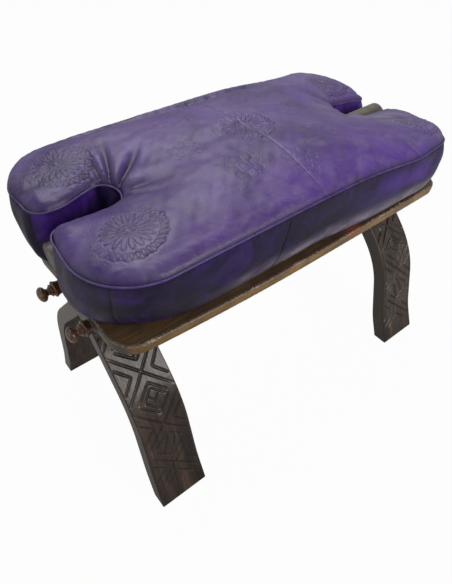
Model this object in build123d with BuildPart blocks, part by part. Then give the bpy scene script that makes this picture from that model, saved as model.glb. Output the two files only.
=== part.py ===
from build123d import *
import os
from math import atan2, cos, hypot, radians, sin, tan

# Camel saddle stool, in millimetres. The origin is on the floor under the middle of the stool.
# +X runs along the ridge pole, +Y across it and +Z up. "Reach" is a distance from the middle
# plane y = 0, "end" is -1 on the left and 1 on the right, "side" is -1 near and 1 far.

# Leg boards: the outer face of each S-curved board, from the floor up
leg_thickness = 23.3
foot_reach = 169.0
ankle_reach = 151.0
ankle_height = 50.0
knee_reach = 125.6
knee_height = 173.0
crook_reach = 36.0
crook_height = 269.3
neck_thickness = 23.3
neck_bend_above_crook = 66.0
# Each bend of the outer face starts this far before its corner
ankle_bend_run = 12.7
knee_bend_run = 49.0
crook_bend_run = 7.5
neck_bend_run = 8.6
# Leg boards seen from the side: they narrow and lean in a little as they rise
foot_outer_x = 290.0
foot_inner_x = 212.6
neck_outer_x = 275.6
neck_inner_x = 208.6

# Ridge pole, lying in seats cut in the neck tops
pole_left_x = -290.0
pole_right_x = 270.0
pole_radius = 18.0
pole_height = 378.0
pole_end_chamfer = 1.5
neck_top_below_pole = 11.0

# Side rails, each turned from one stick with a knob at both ends
rail_radius = 11.5
rail_height = 293.5
rail_shoulder_x = 280.0
shoulder_radius = 8.6
shoulder_length = 3.0
bead_x = 288.4
bead_radius = 11.2
bead_crest = 1.6
groove_x = 291.8
groove_radius = 7.3
collar_radius = 8.4
collar_width = 1.8
knob_neck_x = 297.6
knob_x = 304.9
# The knob's turned outline, as (distance out from its middle, radius)
knob_outline = ((-5.8, 4.6), (-3.9, 8.7), (-0.6, 10.4), (2.6, 9.7), (5.0, 6.8), (6.4, 0))

# Side boards, lying on the rails and sloping down outwards
board_half_length = 281.0
board_thickness = 15.0
board_slope = 7.0
board_end_reach = 119.0
board_middle_reach = 130.0
board_corner_radii = {"left": 38.0, "right": 14.0}
board_edge_chamfer = 2.0
board_neck_clearance = 0.5

# Whittled pegs and forged nails
peg_sides = 8
neck_peg_radius = 5.0
neck_peg_below_pole = 33.0
neck_peg_spacing = 34.0
joinery_x = 243.0
pole_peg_radius = 3.0
pole_peg_length = 36.0
pole_peg_depth = 12.0
pole_peg_spacing = 14.0
pole_peg_lean = 25.0
rail_nail_spacing = 32.0
rail_nail_length = 40.0
board_nail_x = (78.0, 176.0)
board_nail_length = 30.0
nail_width = 4.0
nail_taper = 1.5
nail_head_width = 8.0
nail_head_thickness = 1.6
nail_sink = 2.2

# Cushion
leather = 2.0
cushion_middle_x = -4.0
cushion_half_length = 289.0
cushion_half_width = 154.0
cushion_corner_radius = 76.0
notch_half_width = 21.7
notch_depth = 100.6
lobe_lip_radius = 15.0
lobe_lip_least = 4.0
corner_facet_angle = 10.0
lip_facet_angle = 30.0
notch_facet_angle = 18.0
top_seam_above_pole = 42.5
bottom_seam_above_boards = 4.5
hem_depth = 26.0
band_belly_above_seam = 50.0
hem_insets = (47.0, 17.0, 13.0)
bottom_seam_insets = (38.0, 9.0, 11.0)
band_belly_insets = (12.0, 1.0, 6.5)
seam_insets = (0.0, 0.0, 0.0)
crown_insets = ((11.0, 11.0, 11.0), (29.0, 29.0, 29.0), (60.0, 60.0, 48.0))
crown_rises = (12.0, 20.5, 27.0)
# The right end has settled: from one place along the stool its top slopes down to the right
sag_start_x = 60.0
sag_depth = 35.0
flat_enough = 0.001
cushion_seat_gap = 0.3
side_seam_x = -30.0
end_seam_inset = 28.0
end_seam_reach = 88.0
top_piping_radius = 2.4
bottom_piping_radius = 1.7
piping_clearance = 0.05
piping_sides = 6

# One overrun for every cut
overrun = 40.0

ends = {"left": -1, "right": 1}
sides = {"near": -1, "far": 1}


# What follows from the sizes above
neck_top = pole_height - neck_top_below_pole
neck_bend_height = crook_height + neck_bend_above_crook


def neck_reach_at(height):
    """Reach of the neck's outer face at one height, between the crook and the bend."""
    share = (height - crook_height) / neck_bend_above_crook
    return crook_reach + (neck_thickness - crook_reach) * share


neck_slant = hypot(1, (crook_reach - neck_thickness) / neck_bend_above_crook)
rail_reach = neck_reach_at(rail_height) + rail_radius * neck_slant
slope_down = sin(radians(board_slope))
slope_out = cos(radians(board_slope))


def board_top_at(reach):
    """Height of a side board's upper face at one reach."""
    over_rail = rail_height + (rail_radius + board_thickness) / slope_out
    return over_rail - (reach - rail_reach) * slope_down / slope_out


board_inner_reach = neck_reach_at(rail_height + rail_radius) + board_neck_clearance
top_seam_height = pole_height + top_seam_above_pole
bottom_seam_height = board_top_at(board_inner_reach) + bottom_seam_above_boards


def bend_radius(before, corner, after, run):
    """Radius of the bend at a corner that starts a run before the corner and ends a run after it."""
    heading_in = atan2(corner[1] - before[1], corner[0] - before[0])
    heading_out = atan2(after[1] - corner[1], after[0] - corner[0])
    return run / tan(abs(heading_out - heading_in) / 2)


def leg_corners():
    """Corners and radii of the board's S outline, the outer face first, as (reach, height)."""
    outer = [
        (foot_reach, 0),
        (ankle_reach, ankle_height),
        (knee_reach, knee_height),
        (crook_reach, crook_height),
    ]
    normals = []
    for (reach_a, height_a), (reach_b, height_b) in zip(outer, outer[1:]):
        run = hypot(reach_b - reach_a, height_b - height_a)
        normals.append(((height_a - height_b) / run, (reach_b - reach_a) / run))
    inner = []
    for corner, first, second in zip(outer, [normals[0]] + normals, normals):
        share = leg_thickness / (1 + first[0] * second[0] + first[1] * second[1])
        across, up = first[0] + second[0], first[1] + second[1]
        inner.append((corner[0] + share * across, corner[1] + share * up))
    foot, ankle, knee = inner
    foot_run = (ankle[0] - foot[0]) / (ankle[1] - foot[1])
    shank_run = (crook_reach - knee_reach) / (crook_height - knee_height)
    sole = (foot[0] - foot[1] * foot_run, 0)
    crotch = (0, knee[1] - knee[0] / shank_run)
    corners = outer + [(neck_thickness, neck_bend_height), (neck_thickness, neck_top), (0, neck_top)]
    runs = (ankle_bend_run, knee_bend_run, crook_bend_run, neck_bend_run)
    bends = [bend_radius(*corners[at : at + 3], run) for at, run in enumerate(runs)]
    corners += [crotch, knee, ankle, sole]
    return corners, [0, *bends, 0, 0, 0, bends[1] - leg_thickness, bends[0] + leg_thickness, 0]


def peg(radius, length):
    """A whittled peg along Z, round its middle."""
    with BuildPart(mode=Mode.PRIVATE) as piece:
        with BuildSketch(Plane.XY):
            RegularPolygon(radius, peg_sides)
        extrude(amount=length / 2, both=True)
    return piece.part


def nail(length):
    """A square forged nail that points down from the middle of its head."""
    with BuildPart(mode=Mode.PRIVATE) as piece:
        with BuildSketch(Plane.XY):
            Rectangle(nail_head_width, nail_head_width)
        extrude(amount=-nail_head_thickness)
        with BuildSketch(Plane.XY.offset(-nail_head_thickness)):
            Rectangle(nail_width, nail_width)
        extrude(amount=nail_head_thickness - length, taper=nail_taper)
    return piece.part


def nail_room(length):
    """The nail's own room, open upwards as far as the overrun."""
    with BuildPart(mode=Mode.PRIVATE) as room:
        add(nail(length))
        with BuildSketch(Plane.XY):
            Rectangle(nail_head_width, nail_head_width)
        extrude(amount=overrun)
    return room.part


def nail_seat(along_x, side, reach, height, lean):
    """Plane at a nail's head. Its lean is from straight down towards the stool's middle plane."""
    outwards = (0, side * sin(radians(lean)), cos(radians(lean)))
    return Plane(origin=(along_x, side * reach, height), x_dir=(1, 0, 0), z_dir=outwards)


def pole_peg_middles():
    """Middles of the blind pegs, one in each neck, that point at the pole's middle."""
    depth = pole_radius - pole_peg_depth + pole_peg_length / 2
    reach, drop = depth * sin(radians(pole_peg_lean)), depth * cos(radians(pole_peg_lean))
    return [
        Location(
            (end * joinery_x + side * pole_peg_spacing / 2, side * reach, pole_height - drop),
            (side * pole_peg_lean, 0, 0),
        )
        for end in ends.values()
        for side in sides.values()
    ]


def pairs_along(spacing):
    """Places along X of a pair at each end, a spacing apart and centred on the necks."""
    return [end * joinery_x + step for end in ends.values() for step in (-spacing / 2, spacing / 2)]


def neck_peg_middles(end):
    """Middles of the two pegs through one pair of necks."""
    height = pole_height - neck_peg_below_pole
    places = [x for x in pairs_along(neck_peg_spacing) if x * end > 0]
    return [Location((x, 0, height), (90, 0, 0)) for x in places]


def rail_nail_seats(side):
    """Two nails at each end, level, from the rail's outer side into the neck."""
    reach = rail_reach + rail_radius - nail_sink
    return [nail_seat(x, side, reach, rail_height, 90) for x in pairs_along(rail_nail_spacing)]


def board_nail_seats(side):
    """Four nails square to the board, down into the rail under it."""
    rise = rail_radius + board_thickness
    reach, height = rail_reach + rise * slope_down, rail_height + rise * slope_out
    places = [end * x for end in ends.values() for x in board_nail_x]
    return [nail_seat(x, side, reach, height, board_slope) for x in places]


def cut_nails(seats, length):
    """Cut the room of a row of nails out of the part being built."""
    with Locations(*seats):
        add(nail_room(length), mode=Mode.SUBTRACT)


os.makedirs("parts", exist_ok=True)


# Leg boards
for end_name, end in ends.items():
    for side_name, side in sides.items():
        corners, curves = leg_corners()
        with BuildPart() as leg:
            with BuildSketch(Plane.YZ):
                with BuildLine():
                    outline = [(side * reach, height) for reach, height in corners]
                    FilletPolyline(outline, radius=curves, close=True)
                make_face()
            extrude(amount=end * foot_outer_x)
            with BuildSketch(Plane.XZ):
                with BuildLine():
                    Polyline(
                        (end * foot_inner_x, 0),
                        (end * foot_outer_x, 0),
                        (end * neck_outer_x, neck_top),
                        (end * neck_inner_x, neck_top),
                        close=True,
                    )
                make_face()
            extrude(amount=foot_reach + overrun, both=True, mode=Mode.INTERSECT)
            with BuildSketch(Plane.YZ):
                with Locations((0, pole_height)):
                    Circle(pole_radius)
            extrude(amount=end * (foot_outer_x + overrun), mode=Mode.SUBTRACT)
            with Locations(*neck_peg_middles(end)):
                add(peg(neck_peg_radius, 2 * neck_thickness), mode=Mode.SUBTRACT)
            cut_nails(rail_nail_seats(side), rail_nail_length)
            with Locations(*pole_peg_middles()):
                add(peg(pole_peg_radius, pole_peg_length), mode=Mode.SUBTRACT)
        leg.part.label = f"leg_{end_name}_{side_name}"
        export_step(leg.part, f"parts/{leg.part.label}.step")


# Pegs through each pair of necks
for end_name, end in ends.items():
    with BuildPart() as neck_pegs:
        with Locations(*neck_peg_middles(end)):
            add(peg(neck_peg_radius, 2 * neck_thickness))
    neck_pegs.part.label = f"neck_pegs_{end_name}"
    export_step(neck_pegs.part, f"parts/{neck_pegs.part.label}.step")


# Ridge pole
with BuildPart() as ridge_pole:
    with BuildSketch(Plane.YZ.offset(pole_left_x)):
        with Locations((0, pole_height)):
            Circle(pole_radius)
    extrude(amount=pole_right_x - pole_left_x)
    chamfer(ridge_pole.edges().filter_by(GeomType.CIRCLE), length=pole_end_chamfer)
    with Locations(*pole_peg_middles()):
        add(peg(pole_peg_radius, pole_peg_length), mode=Mode.SUBTRACT)
ridge_pole.part.label = "ridge_pole"
export_step(ridge_pole.part, "parts/ridge_pole.step")

with BuildPart() as pole_pegs:
    with Locations(*pole_peg_middles()):
        add(peg(pole_peg_radius, pole_peg_length))
pole_pegs.part.label = "pole_pegs"
export_step(pole_pegs.part, "parts/pole_pegs.step")


# Side rails with their turned knobs, and the nails that hold them to the necks
knob_neck_radius = knob_outline[0][1]
knob_end = [(knob_x + out, radius) for out, radius in knob_outline]
for side_name, side in sides.items():
    rail_middle = (0, side * rail_reach, rail_height)
    with BuildPart() as side_rail:
        with BuildSketch(Plane(origin=rail_middle, x_dir=(1, 0, 0), z_dir=(0, -1, 0))):
            with BuildLine():
                Polyline(
                    knob_end[-1],
                    (0, 0),
                    (0, rail_radius),
                    (rail_shoulder_x - shoulder_length, rail_radius),
                    (rail_shoulder_x, shoulder_radius),
                    (bead_x - bead_crest / 2, bead_radius),
                    (bead_x + bead_crest / 2, bead_radius),
                    (groove_x, groove_radius),
                    (groove_x + collar_width, collar_radius),
                    (knob_neck_x, knob_neck_radius),
                    *knob_end,
                )
            make_face()
        revolve(axis=Axis(rail_middle, (1, 0, 0)))
        mirror(about=Plane.YZ)
        cut_nails(rail_nail_seats(side), rail_nail_length)
        cut_nails(board_nail_seats(side), board_nail_length)
    side_rail.part.label = f"side_rail_{side_name}"
    export_step(side_rail.part, f"parts/{side_rail.part.label}.step")

    with BuildPart() as rail_nails:
        with Locations(*rail_nail_seats(side)):
            add(nail(rail_nail_length))
    rail_nails.part.label = f"rail_nails_{side_name}"
    export_step(rail_nails.part, f"parts/{rail_nails.part.label}.step")


# Side boards and the nails that hold them to the rails
board_inner = (board_inner_reach - rail_reach) / slope_out
board_end = (board_end_reach - rail_reach) / slope_out
board_middle = (board_middle_reach - rail_reach) / slope_out
for side_name, side in sides.items():
    top_reach = rail_reach + rail_radius * slope_down
    rail_top = (0, side * top_reach, rail_height + rail_radius * slope_out)
    underside = Plane(origin=rail_top, x_dir=(1, 0, 0), z_dir=(0, side * slope_down, slope_out))
    with BuildPart() as side_board:
        with BuildSketch(underside) as board_plan:
            with BuildLine():
                Line((-board_half_length, side * board_end), (-board_half_length, side * board_inner))
                Line((-board_half_length, side * board_inner), (board_half_length, side * board_inner))
                Line((board_half_length, side * board_inner), (board_half_length, side * board_end))
                ThreePointArc(
                    (board_half_length, side * board_end),
                    (0, side * board_middle),
                    (-board_half_length, side * board_end),
                )
            make_face()
            outer_corners = board_plan.vertices().sort_by(Axis.Y, reverse=side > 0)[:2].sort_by(Axis.X)
            for corner, radius in zip(outer_corners, board_corner_radii.values()):
                fillet(corner, radius=radius)
        extrude(amount=board_thickness)
        broad_faces = side_board.faces().sort_by(Axis(rail_top, underside.z_dir))
        chamfer(broad_faces[0].edges() + broad_faces[-1].edges(), length=board_edge_chamfer)
        cut_nails(board_nail_seats(side), board_nail_length)
    side_board.part.label = f"side_board_{side_name}"
    export_step(side_board.part, f"parts/{side_board.part.label}.step")

    with BuildPart() as board_nails:
        with Locations(*board_nail_seats(side)):
            add(nail(board_nail_length))
    board_nails.part.label = f"board_nails_{side_name}"
    export_step(board_nails.part, f"parts/{board_nails.part.label}.step")


def arc_points(middle, radius, start, stop, facet_angle):
    """Ends of equal chords round an arc between two angles, each about one facet angle long."""
    chords = round(abs(stop - start) / facet_angle)
    turns = [radians(start + (stop - start) * step / chords) for step in range(chords + 1)]
    return [(middle[0] + radius * cos(turn), middle[1] + radius * sin(turn)) for turn in turns]


def plan_outline(insets, skin=0):
    """The cushion's H-shaped plan, drawn in from sides, ends and notches, and by a skin all round."""
    side_inset, end_inset, notch_inset = (inset + skin for inset in insets)
    length = cushion_half_length - end_inset
    width = cushion_half_width - side_inset
    corner = cushion_corner_radius - end_inset
    notch = notch_half_width + notch_inset
    lip = max(lobe_lip_radius - end_inset, lobe_lip_least)
    notch_middle = cushion_half_length - notch_depth + notch_half_width
    quarter = arc_points((length - corner, width - corner), corner, 90, 0, corner_facet_angle)
    quarter += arc_points((length - lip, notch + lip), lip, 0, -90, lip_facet_angle)
    quarter += arc_points((notch_middle, 0), notch, 90, 180, notch_facet_angle)
    right = quarter + [(x, -y) for x, y in reversed(quarter[:-1])]
    left = [(-x, y) for x, y in reversed(right)]
    bend = sag_start_x - cushion_middle_x
    outline = [(bend, width), *right, (bend, -width), *left]
    return [(cushion_middle_x + x, y) for x, y in outline]


def settled(x, y, height):
    """A point of the cushion once the right end has sagged, which leaves the bottom seam where it was."""
    share = (height - bottom_seam_height) / (top_seam_height - bottom_seam_height)
    slope = sag_depth / (cushion_middle_x + cushion_half_length - sag_start_x)
    return Vector(x, y, height - slope * max(0, x - sag_start_x) * min(1, max(0, share)))


def faceted_loft(sections):
    """A closed solid with flat facets between settled outlines, each given with its height."""
    rings = [[settled(x, y, height) for x, y in outline] for height, outline in sections]
    bend = len(rings[0]) // 2
    facets = []
    for cap in (rings[0], rings[-1]):
        facets += [cap[: bend + 1], [*cap[bend:], cap[0]]]
    for low, high in zip(rings, rings[1:]):
        for at in range(len(low)):
            first, second, third, fourth = low[at - 1], low[at], high[at], high[at - 1]
            twist = (second - first).cross(fourth - first).dot(third - first)
            if abs(twist) < flat_enough:
                facets.append([first, second, third, fourth])
            else:
                facets += [[first, second, third], [first, third, fourth]]
    return Solid(Shell([Face(Wire.make_polygon(facet)) for facet in facets]))


def cushion_form(skin):
    """The cushion's body in one solid, lying a skin's thickness inside its outer face."""
    sections = [
        (bottom_seam_height - hem_depth, hem_insets),
        (bottom_seam_height, bottom_seam_insets),
        (bottom_seam_height + band_belly_above_seam, band_belly_insets),
        (top_seam_height, seam_insets),
    ]
    for rise, insets in zip(crown_rises, crown_insets):
        sections.append((top_seam_height + rise - skin * rise / crown_rises[-1], insets))
    return faceted_loft([(height, plan_outline(insets, skin)) for height, insets in sections])


def under_room(gap):
    """Everything under the cushion: the pole, the tent beside it and the boards, with one gap above them."""
    tent_foot = (board_inner_reach, board_top_at(board_inner_reach) + gap)
    far_out = (cushion_half_width, board_top_at(cushion_half_width) + gap)
    low = board_top_at(cushion_half_width) - hem_depth - overrun
    arch = pole_radius + gap
    with BuildPart(mode=Mode.PRIVATE) as room:
        with BuildSketch(Plane.YZ):
            with BuildLine():
                ThreePointArc((-arch, pole_height), (0, pole_height + arch), (arch, pole_height))
                Polyline(
                    (arch, pole_height),
                    tent_foot,
                    far_out,
                    (cushion_half_width, low),
                    (-cushion_half_width, low),
                    (-far_out[0], far_out[1]),
                    (-tent_foot[0], tent_foot[1]),
                    (-arch, pole_height),
                )
            make_face()
        extrude(amount=cushion_half_length + abs(cushion_middle_x) + overrun, both=True)
    return room.part


# Stuffing
with BuildPart() as cushion_filling:
    add(cushion_form(leather))
    add(under_room(cushion_seat_gap + leather), mode=Mode.SUBTRACT)
cushion_filling.part.label = "cushion_filling"
export_step(cushion_filling.part, "parts/cushion_filling.step")

# The whole leather cover, to be cut along its seams
with BuildPart() as cover:
    add(cushion_form(0))
    add(under_room(cushion_seat_gap), mode=Mode.SUBTRACT)
    add(cushion_filling.part, mode=Mode.SUBTRACT)


def cushion_room(low, high):
    """The space between two opposite corners, settled as the cushion is."""
    places = sorted({low[0], high[0], min(max(sag_start_x, low[0]), high[0])})
    corners = [settled(x, low[1], low[2]) for x in places]
    corners += [settled(x, low[1], high[2]) for x in reversed(places)]
    with BuildPart(mode=Mode.PRIVATE) as room:
        with BuildSketch(Plane.XZ.offset(-low[1])):
            with BuildLine():
                Polyline(*[(corner.X, corner.Z) for corner in corners], close=True)
            make_face()
        extrude(amount=low[1] - high[1])
    return room.part


def cover_piece(label, rooms, taken=()):
    """The cover's leather that lies in some rooms and not in those already taken, written out as a piece."""
    with BuildPart() as wanted:
        for room in rooms:
            add(room)
        for other in taken:
            add(other, mode=Mode.SUBTRACT)
    with BuildPart() as piece:
        add(cover.part)
        add(wanted.part, mode=Mode.INTERSECT)
    piece.part.label = label
    export_step(piece.part, f"parts/{label}.step")


reach_out = cushion_half_width + overrun
left_out = cushion_middle_x - cushion_half_length - overrun
right_out = cushion_middle_x + cushion_half_length + overrun
top = top_seam_height + crown_rises[-1] + overrun
bottom = bottom_seam_height - hem_depth - overrun
underside = under_room(cushion_seat_gap + leather)
below_seam = cushion_room((left_out, -reach_out, bottom), (right_out, reach_out, bottom_seam_height))
cover_piece("bottom_panel", [below_seam, underside])
for end_name, outer_x in {"left": left_out, "right": right_out}.items():
    start, stop = sorted((cushion_middle_x, outer_x))
    top_room = cushion_room((start, -reach_out, top_seam_height), (stop, reach_out, top))
    cover_piece(f"top_panel_{end_name}", [top_room])

# Side band: two strips along each side, then one round the lobes and the notch at each end
strips = []
end_seams = {"left": left_out + overrun + end_seam_inset, "right": right_out - overrun - end_seam_inset}
for side_name, side in sides.items():
    near_edge, far_edge = sorted((side * end_seam_reach, side * reach_out))
    for end_name, end_seam in end_seams.items():
        start, stop = sorted((side_seam_x, end_seam))
        strips.append(cushion_room((start, near_edge, bottom_seam_height), (stop, far_edge, top_seam_height)))
        cover_piece(f"band_{side_name}_{end_name}", strips[-1:])
for end_name, outer_x in {"left": left_out, "right": right_out}.items():
    start, stop = sorted((cushion_middle_x, outer_x))
    end_room = cushion_room((start, -reach_out, bottom_seam_height), (stop, reach_out, top_seam_height))
    cover_piece(f"band_{end_name}_end", [end_room], [*strips, underside])


# Piping round the top seam and along the bottom one, which stops where it would meet the pole
right_end_x = cushion_middle_x + cushion_half_length
belly_rise = settled(right_end_x, 0, bottom_seam_height + band_belly_above_seam).Z - bottom_seam_height
seam_lean = (bottom_seam_insets[0] - band_belly_insets[0]) / belly_rise
bottom_stand = bottom_piping_radius * hypot(1, seam_lean) + piping_clearance
top_stand = top_piping_radius + piping_clearance
pipings = {
    "top_piping": (top_seam_height, seam_insets, top_piping_radius, top_stand),
    "bottom_piping": (bottom_seam_height, bottom_seam_insets, bottom_piping_radius, bottom_stand),
}
for label, (height, insets, radius, stand) in pipings.items():
    with BuildPart() as piping:
        with BuildLine() as seam:
            Polyline(*[settled(x, y, height) for x, y in plan_outline(insets, -stand)], close=True)
        route = seam.wires()[0]
        with BuildSketch(Plane(origin=route @ 0, z_dir=route % 0)):
            RegularPolygon(radius, piping_sides)
        sweep(path=route, transition=Transition.RIGHT)
        add(under_room(cushion_seat_gap), mode=Mode.SUBTRACT)
    piping.part.label = label
    export_step(piping.part, f"parts/{label}.step")
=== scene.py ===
from math import atan, cos, exp, hypot, pi, radians, sin, sqrt, tan

import bmesh
import bpy
import numpy as np
from mathutils import Matrix, Vector


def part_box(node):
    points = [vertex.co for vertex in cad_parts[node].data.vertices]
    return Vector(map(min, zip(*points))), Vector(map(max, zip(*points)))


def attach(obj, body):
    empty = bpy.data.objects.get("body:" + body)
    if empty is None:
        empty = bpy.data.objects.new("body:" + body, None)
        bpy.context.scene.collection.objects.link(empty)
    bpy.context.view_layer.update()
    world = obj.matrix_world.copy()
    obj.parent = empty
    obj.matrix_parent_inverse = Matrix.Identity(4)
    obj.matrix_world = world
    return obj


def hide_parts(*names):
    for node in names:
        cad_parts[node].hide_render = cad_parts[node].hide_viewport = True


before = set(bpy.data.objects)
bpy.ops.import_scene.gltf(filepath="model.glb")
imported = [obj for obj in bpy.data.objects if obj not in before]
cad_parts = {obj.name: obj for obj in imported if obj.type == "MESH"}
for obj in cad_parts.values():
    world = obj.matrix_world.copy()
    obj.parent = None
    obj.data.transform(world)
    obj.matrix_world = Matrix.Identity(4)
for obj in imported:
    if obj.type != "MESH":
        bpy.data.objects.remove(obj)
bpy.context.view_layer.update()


# Stage: a large white sheet of paper under the stool, a white surround, the camera, and three soft lamps.
# The camera stands where the photograph was taken from.
camera_place = Vector((-0.3898, -0.4605, 0.7549))
camera_forward = Vector((0.4243, 0.5566, -0.7143))
camera_up = Vector((0.4441, 0.5590, 0.7003))
lens = 30.77


def add_camera():
    """The camera at its place, looking forward with its head up."""
    data = bpy.data.cameras.new("camera")
    data.lens = lens
    data.clip_start = 0.01
    camera = bpy.data.objects.new("camera", data)
    back = -camera_forward.normalized()
    right = camera_up.cross(back).normalized()
    turned = Matrix((right, back.cross(right), back)).transposed()
    camera.matrix_world = Matrix.Translation(camera_place) @ turned.to_4x4()
    bpy.context.scene.collection.objects.link(camera)
    bpy.context.scene.camera = camera


def add_lamp(name, place, aim, size, power, colour=(1.0, 1.0, 1.0)):
    """A square soft lamp that looks from one place at another."""
    data = bpy.data.lights.new(name, "AREA")
    data.size = size
    data.energy = power
    data.color = colour
    lamp = bpy.data.objects.new(name, data)
    lamp.location = place
    lamp.rotation_euler = (Vector(aim) - Vector(place)).to_track_quat("-Z", "Y").to_euler()
    bpy.context.scene.collection.objects.link(lamp)


def put(tree, kind, inputs=(), **settings):
    """A node with some of its settings and inputs given. A node's output as an input is linked."""
    node = tree.nodes.new(kind)
    for name, value in settings.items():
        setattr(node, name, value)
    for name, value in dict(inputs).items():
        if isinstance(value, bpy.types.NodeSocket):
            tree.links.new(value, node.inputs[name])
        else:
            node.inputs[name].default_value = value
    return node


def worked(tree, operation, *values, clamp=False):
    """The result of a Math node on some values."""
    node = put(tree, "ShaderNodeMath", dict(enumerate(values)), operation=operation, use_clamp=clamp)
    return node.outputs[0]


def paper_material():
    """White paper that shows as pure white except where the stool's shadow lies on it."""
    material = bpy.data.materials.new("white_paper")
    material.use_nodes = True
    tree = material.node_tree
    tree.nodes.clear()
    lit = put(tree, "ShaderNodeBsdfDiffuse", {"Color": (0.45, 0.44, 0.43, 1.0)})
    bright = put(tree, "ShaderNodeEmission", {"Color": (1.0, 1.0, 1.0, 1.0), "Strength": 1.0})
    seen = put(tree, "ShaderNodeLightPath")
    share = worked(tree, "MULTIPLY", seen.outputs["Is Camera Ray"], 0.97)
    mix = put(tree, "ShaderNodeMixShader", {0: share, 1: lit.outputs[0], 2: bright.outputs[0]})
    put(tree, "ShaderNodeOutputMaterial", {"Surface": mix.outputs[0]})
    return material


def add_paper():
    """A large level sheet at floor level."""
    reach = 8.0
    corners = [(-reach, -reach, 0), (reach, -reach, 0), (reach, reach, 0), (-reach, reach, 0)]
    mesh = bpy.data.meshes.new("floor")
    mesh.from_pydata(corners, [], [(0, 1, 2, 3)])
    mesh.materials.append(paper_material())
    floor = bpy.data.objects.new("floor", mesh)
    bpy.context.scene.collection.objects.link(floor)


def light_the_world(strength):
    """A white surround, dimmer for the light that it gives than for how it looks."""
    world = bpy.data.worlds.new("surround")
    world.use_nodes = True
    tree = world.node_tree
    tree.nodes.clear()
    seen = put(tree, "ShaderNodeLightPath")
    extra = worked(tree, "MULTIPLY", seen.outputs["Is Camera Ray"], 1.0 - strength)
    level = worked(tree, "ADD", extra, strength)
    ground = put(tree, "ShaderNodeBackground", {"Color": (1.0, 1.0, 1.0, 1.0), "Strength": level})
    put(tree, "ShaderNodeOutputWorld", {"Surface": ground.outputs[0]})
    bpy.context.scene.world = world


bpy.context.scene.view_settings.view_transform = "Standard"
add_camera()
add_paper()
light_the_world(0.42)
middle_of_stool = (0.0, 0.0, 0.3)
add_lamp("top_lamp", (0.25, 0.85, 1.9), middle_of_stool, 1.3, 20.0)
add_lamp("left_lamp", (-1.7, 0.35, 1.0), middle_of_stool, 1.8, 5.0)
add_lamp("front_lamp", (0.45, -1.9, 1.2), middle_of_stool, 0.9, 19.0)


# Legs: four S-curved boards of dark stained wood, each sawn from one plank. The outer faces carry
# knife-cut lattice work: crossed grooves, chevrons beside them, and ladders in the diamonds between.
carving_pitch = 0.0840
first_crossing = 0.0660
chevron_offset = 0.0115
groove_half_width = 0.0020
groove_depth = 0.0022
edge_round = 0.0016
carving_step = 0.0009
carving_top = 0.300


def side_outline(node, end):
    """Outline of a leg's end face in order, as an array of (y, z), and all the corners of its board."""
    plank = bmesh.new()
    plank.from_mesh(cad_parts[node].data)
    bmesh.ops.remove_doubles(plank, verts=plank.verts, dist=1e-6)
    plank.normal_update()
    end_face = {face for face in plank.faces if face.normal.x * end > 0.9}
    nexts = {}
    for face in end_face:
        for loop in face.loops:
            if not any(other in end_face for other in loop.edge.link_faces if other is not face):
                nexts[loop.vert] = loop.link_loop_next.vert
    start = max(nexts, key=lambda vert: (vert.co.z < 0.001, abs(vert.co.y)))
    chain, vert = [start], nexts[start]
    while vert is not start:
        chain.append(vert)
        vert = nexts[vert]
    points = np.array([(vert.co.y, vert.co.z) for vert in chain])
    corners = np.array([vert.co for vert in plank.verts])
    plank.free()
    return points, corners


def evenly(points, step):
    """The same line with its points a step apart, and how far along it each of them lies."""
    runs = np.hypot(*np.diff(points, axis=0).T)
    along = np.concatenate([[0.0], np.cumsum(runs)])
    even = np.linspace(0.0, along[-1], int(along[-1] / step) + 1)
    return np.column_stack([np.interp(even, along, points[:, axis]) for axis in (0, 1)]), even


def groove(distance, half_width=groove_half_width):
    """Depth of a V cut with a rounded bottom at a distance from its middle line, from 0 to 1."""
    return np.clip(1.0 - (distance / half_width) ** 2, 0.0, 1.0)


def stroke(along, across, start, end, half_width=groove_half_width):
    """A knife stroke from one point to another, which runs out shallow at both ends."""
    run = np.subtract(end, start)
    length = hypot(*run)
    share = ((along - start[0]) * run[0] + (across - start[1]) * run[1]) / length**2
    aside = np.abs((along - start[0]) * run[1] - (across - start[1]) * run[0]) / length
    taper = np.clip(1.0 - (2.0 * share - 1.0) ** 4, 0.0, 1.0) * ((share > 0.0) & (share < 1.0))
    return groove(aside, half_width) * taper


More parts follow.
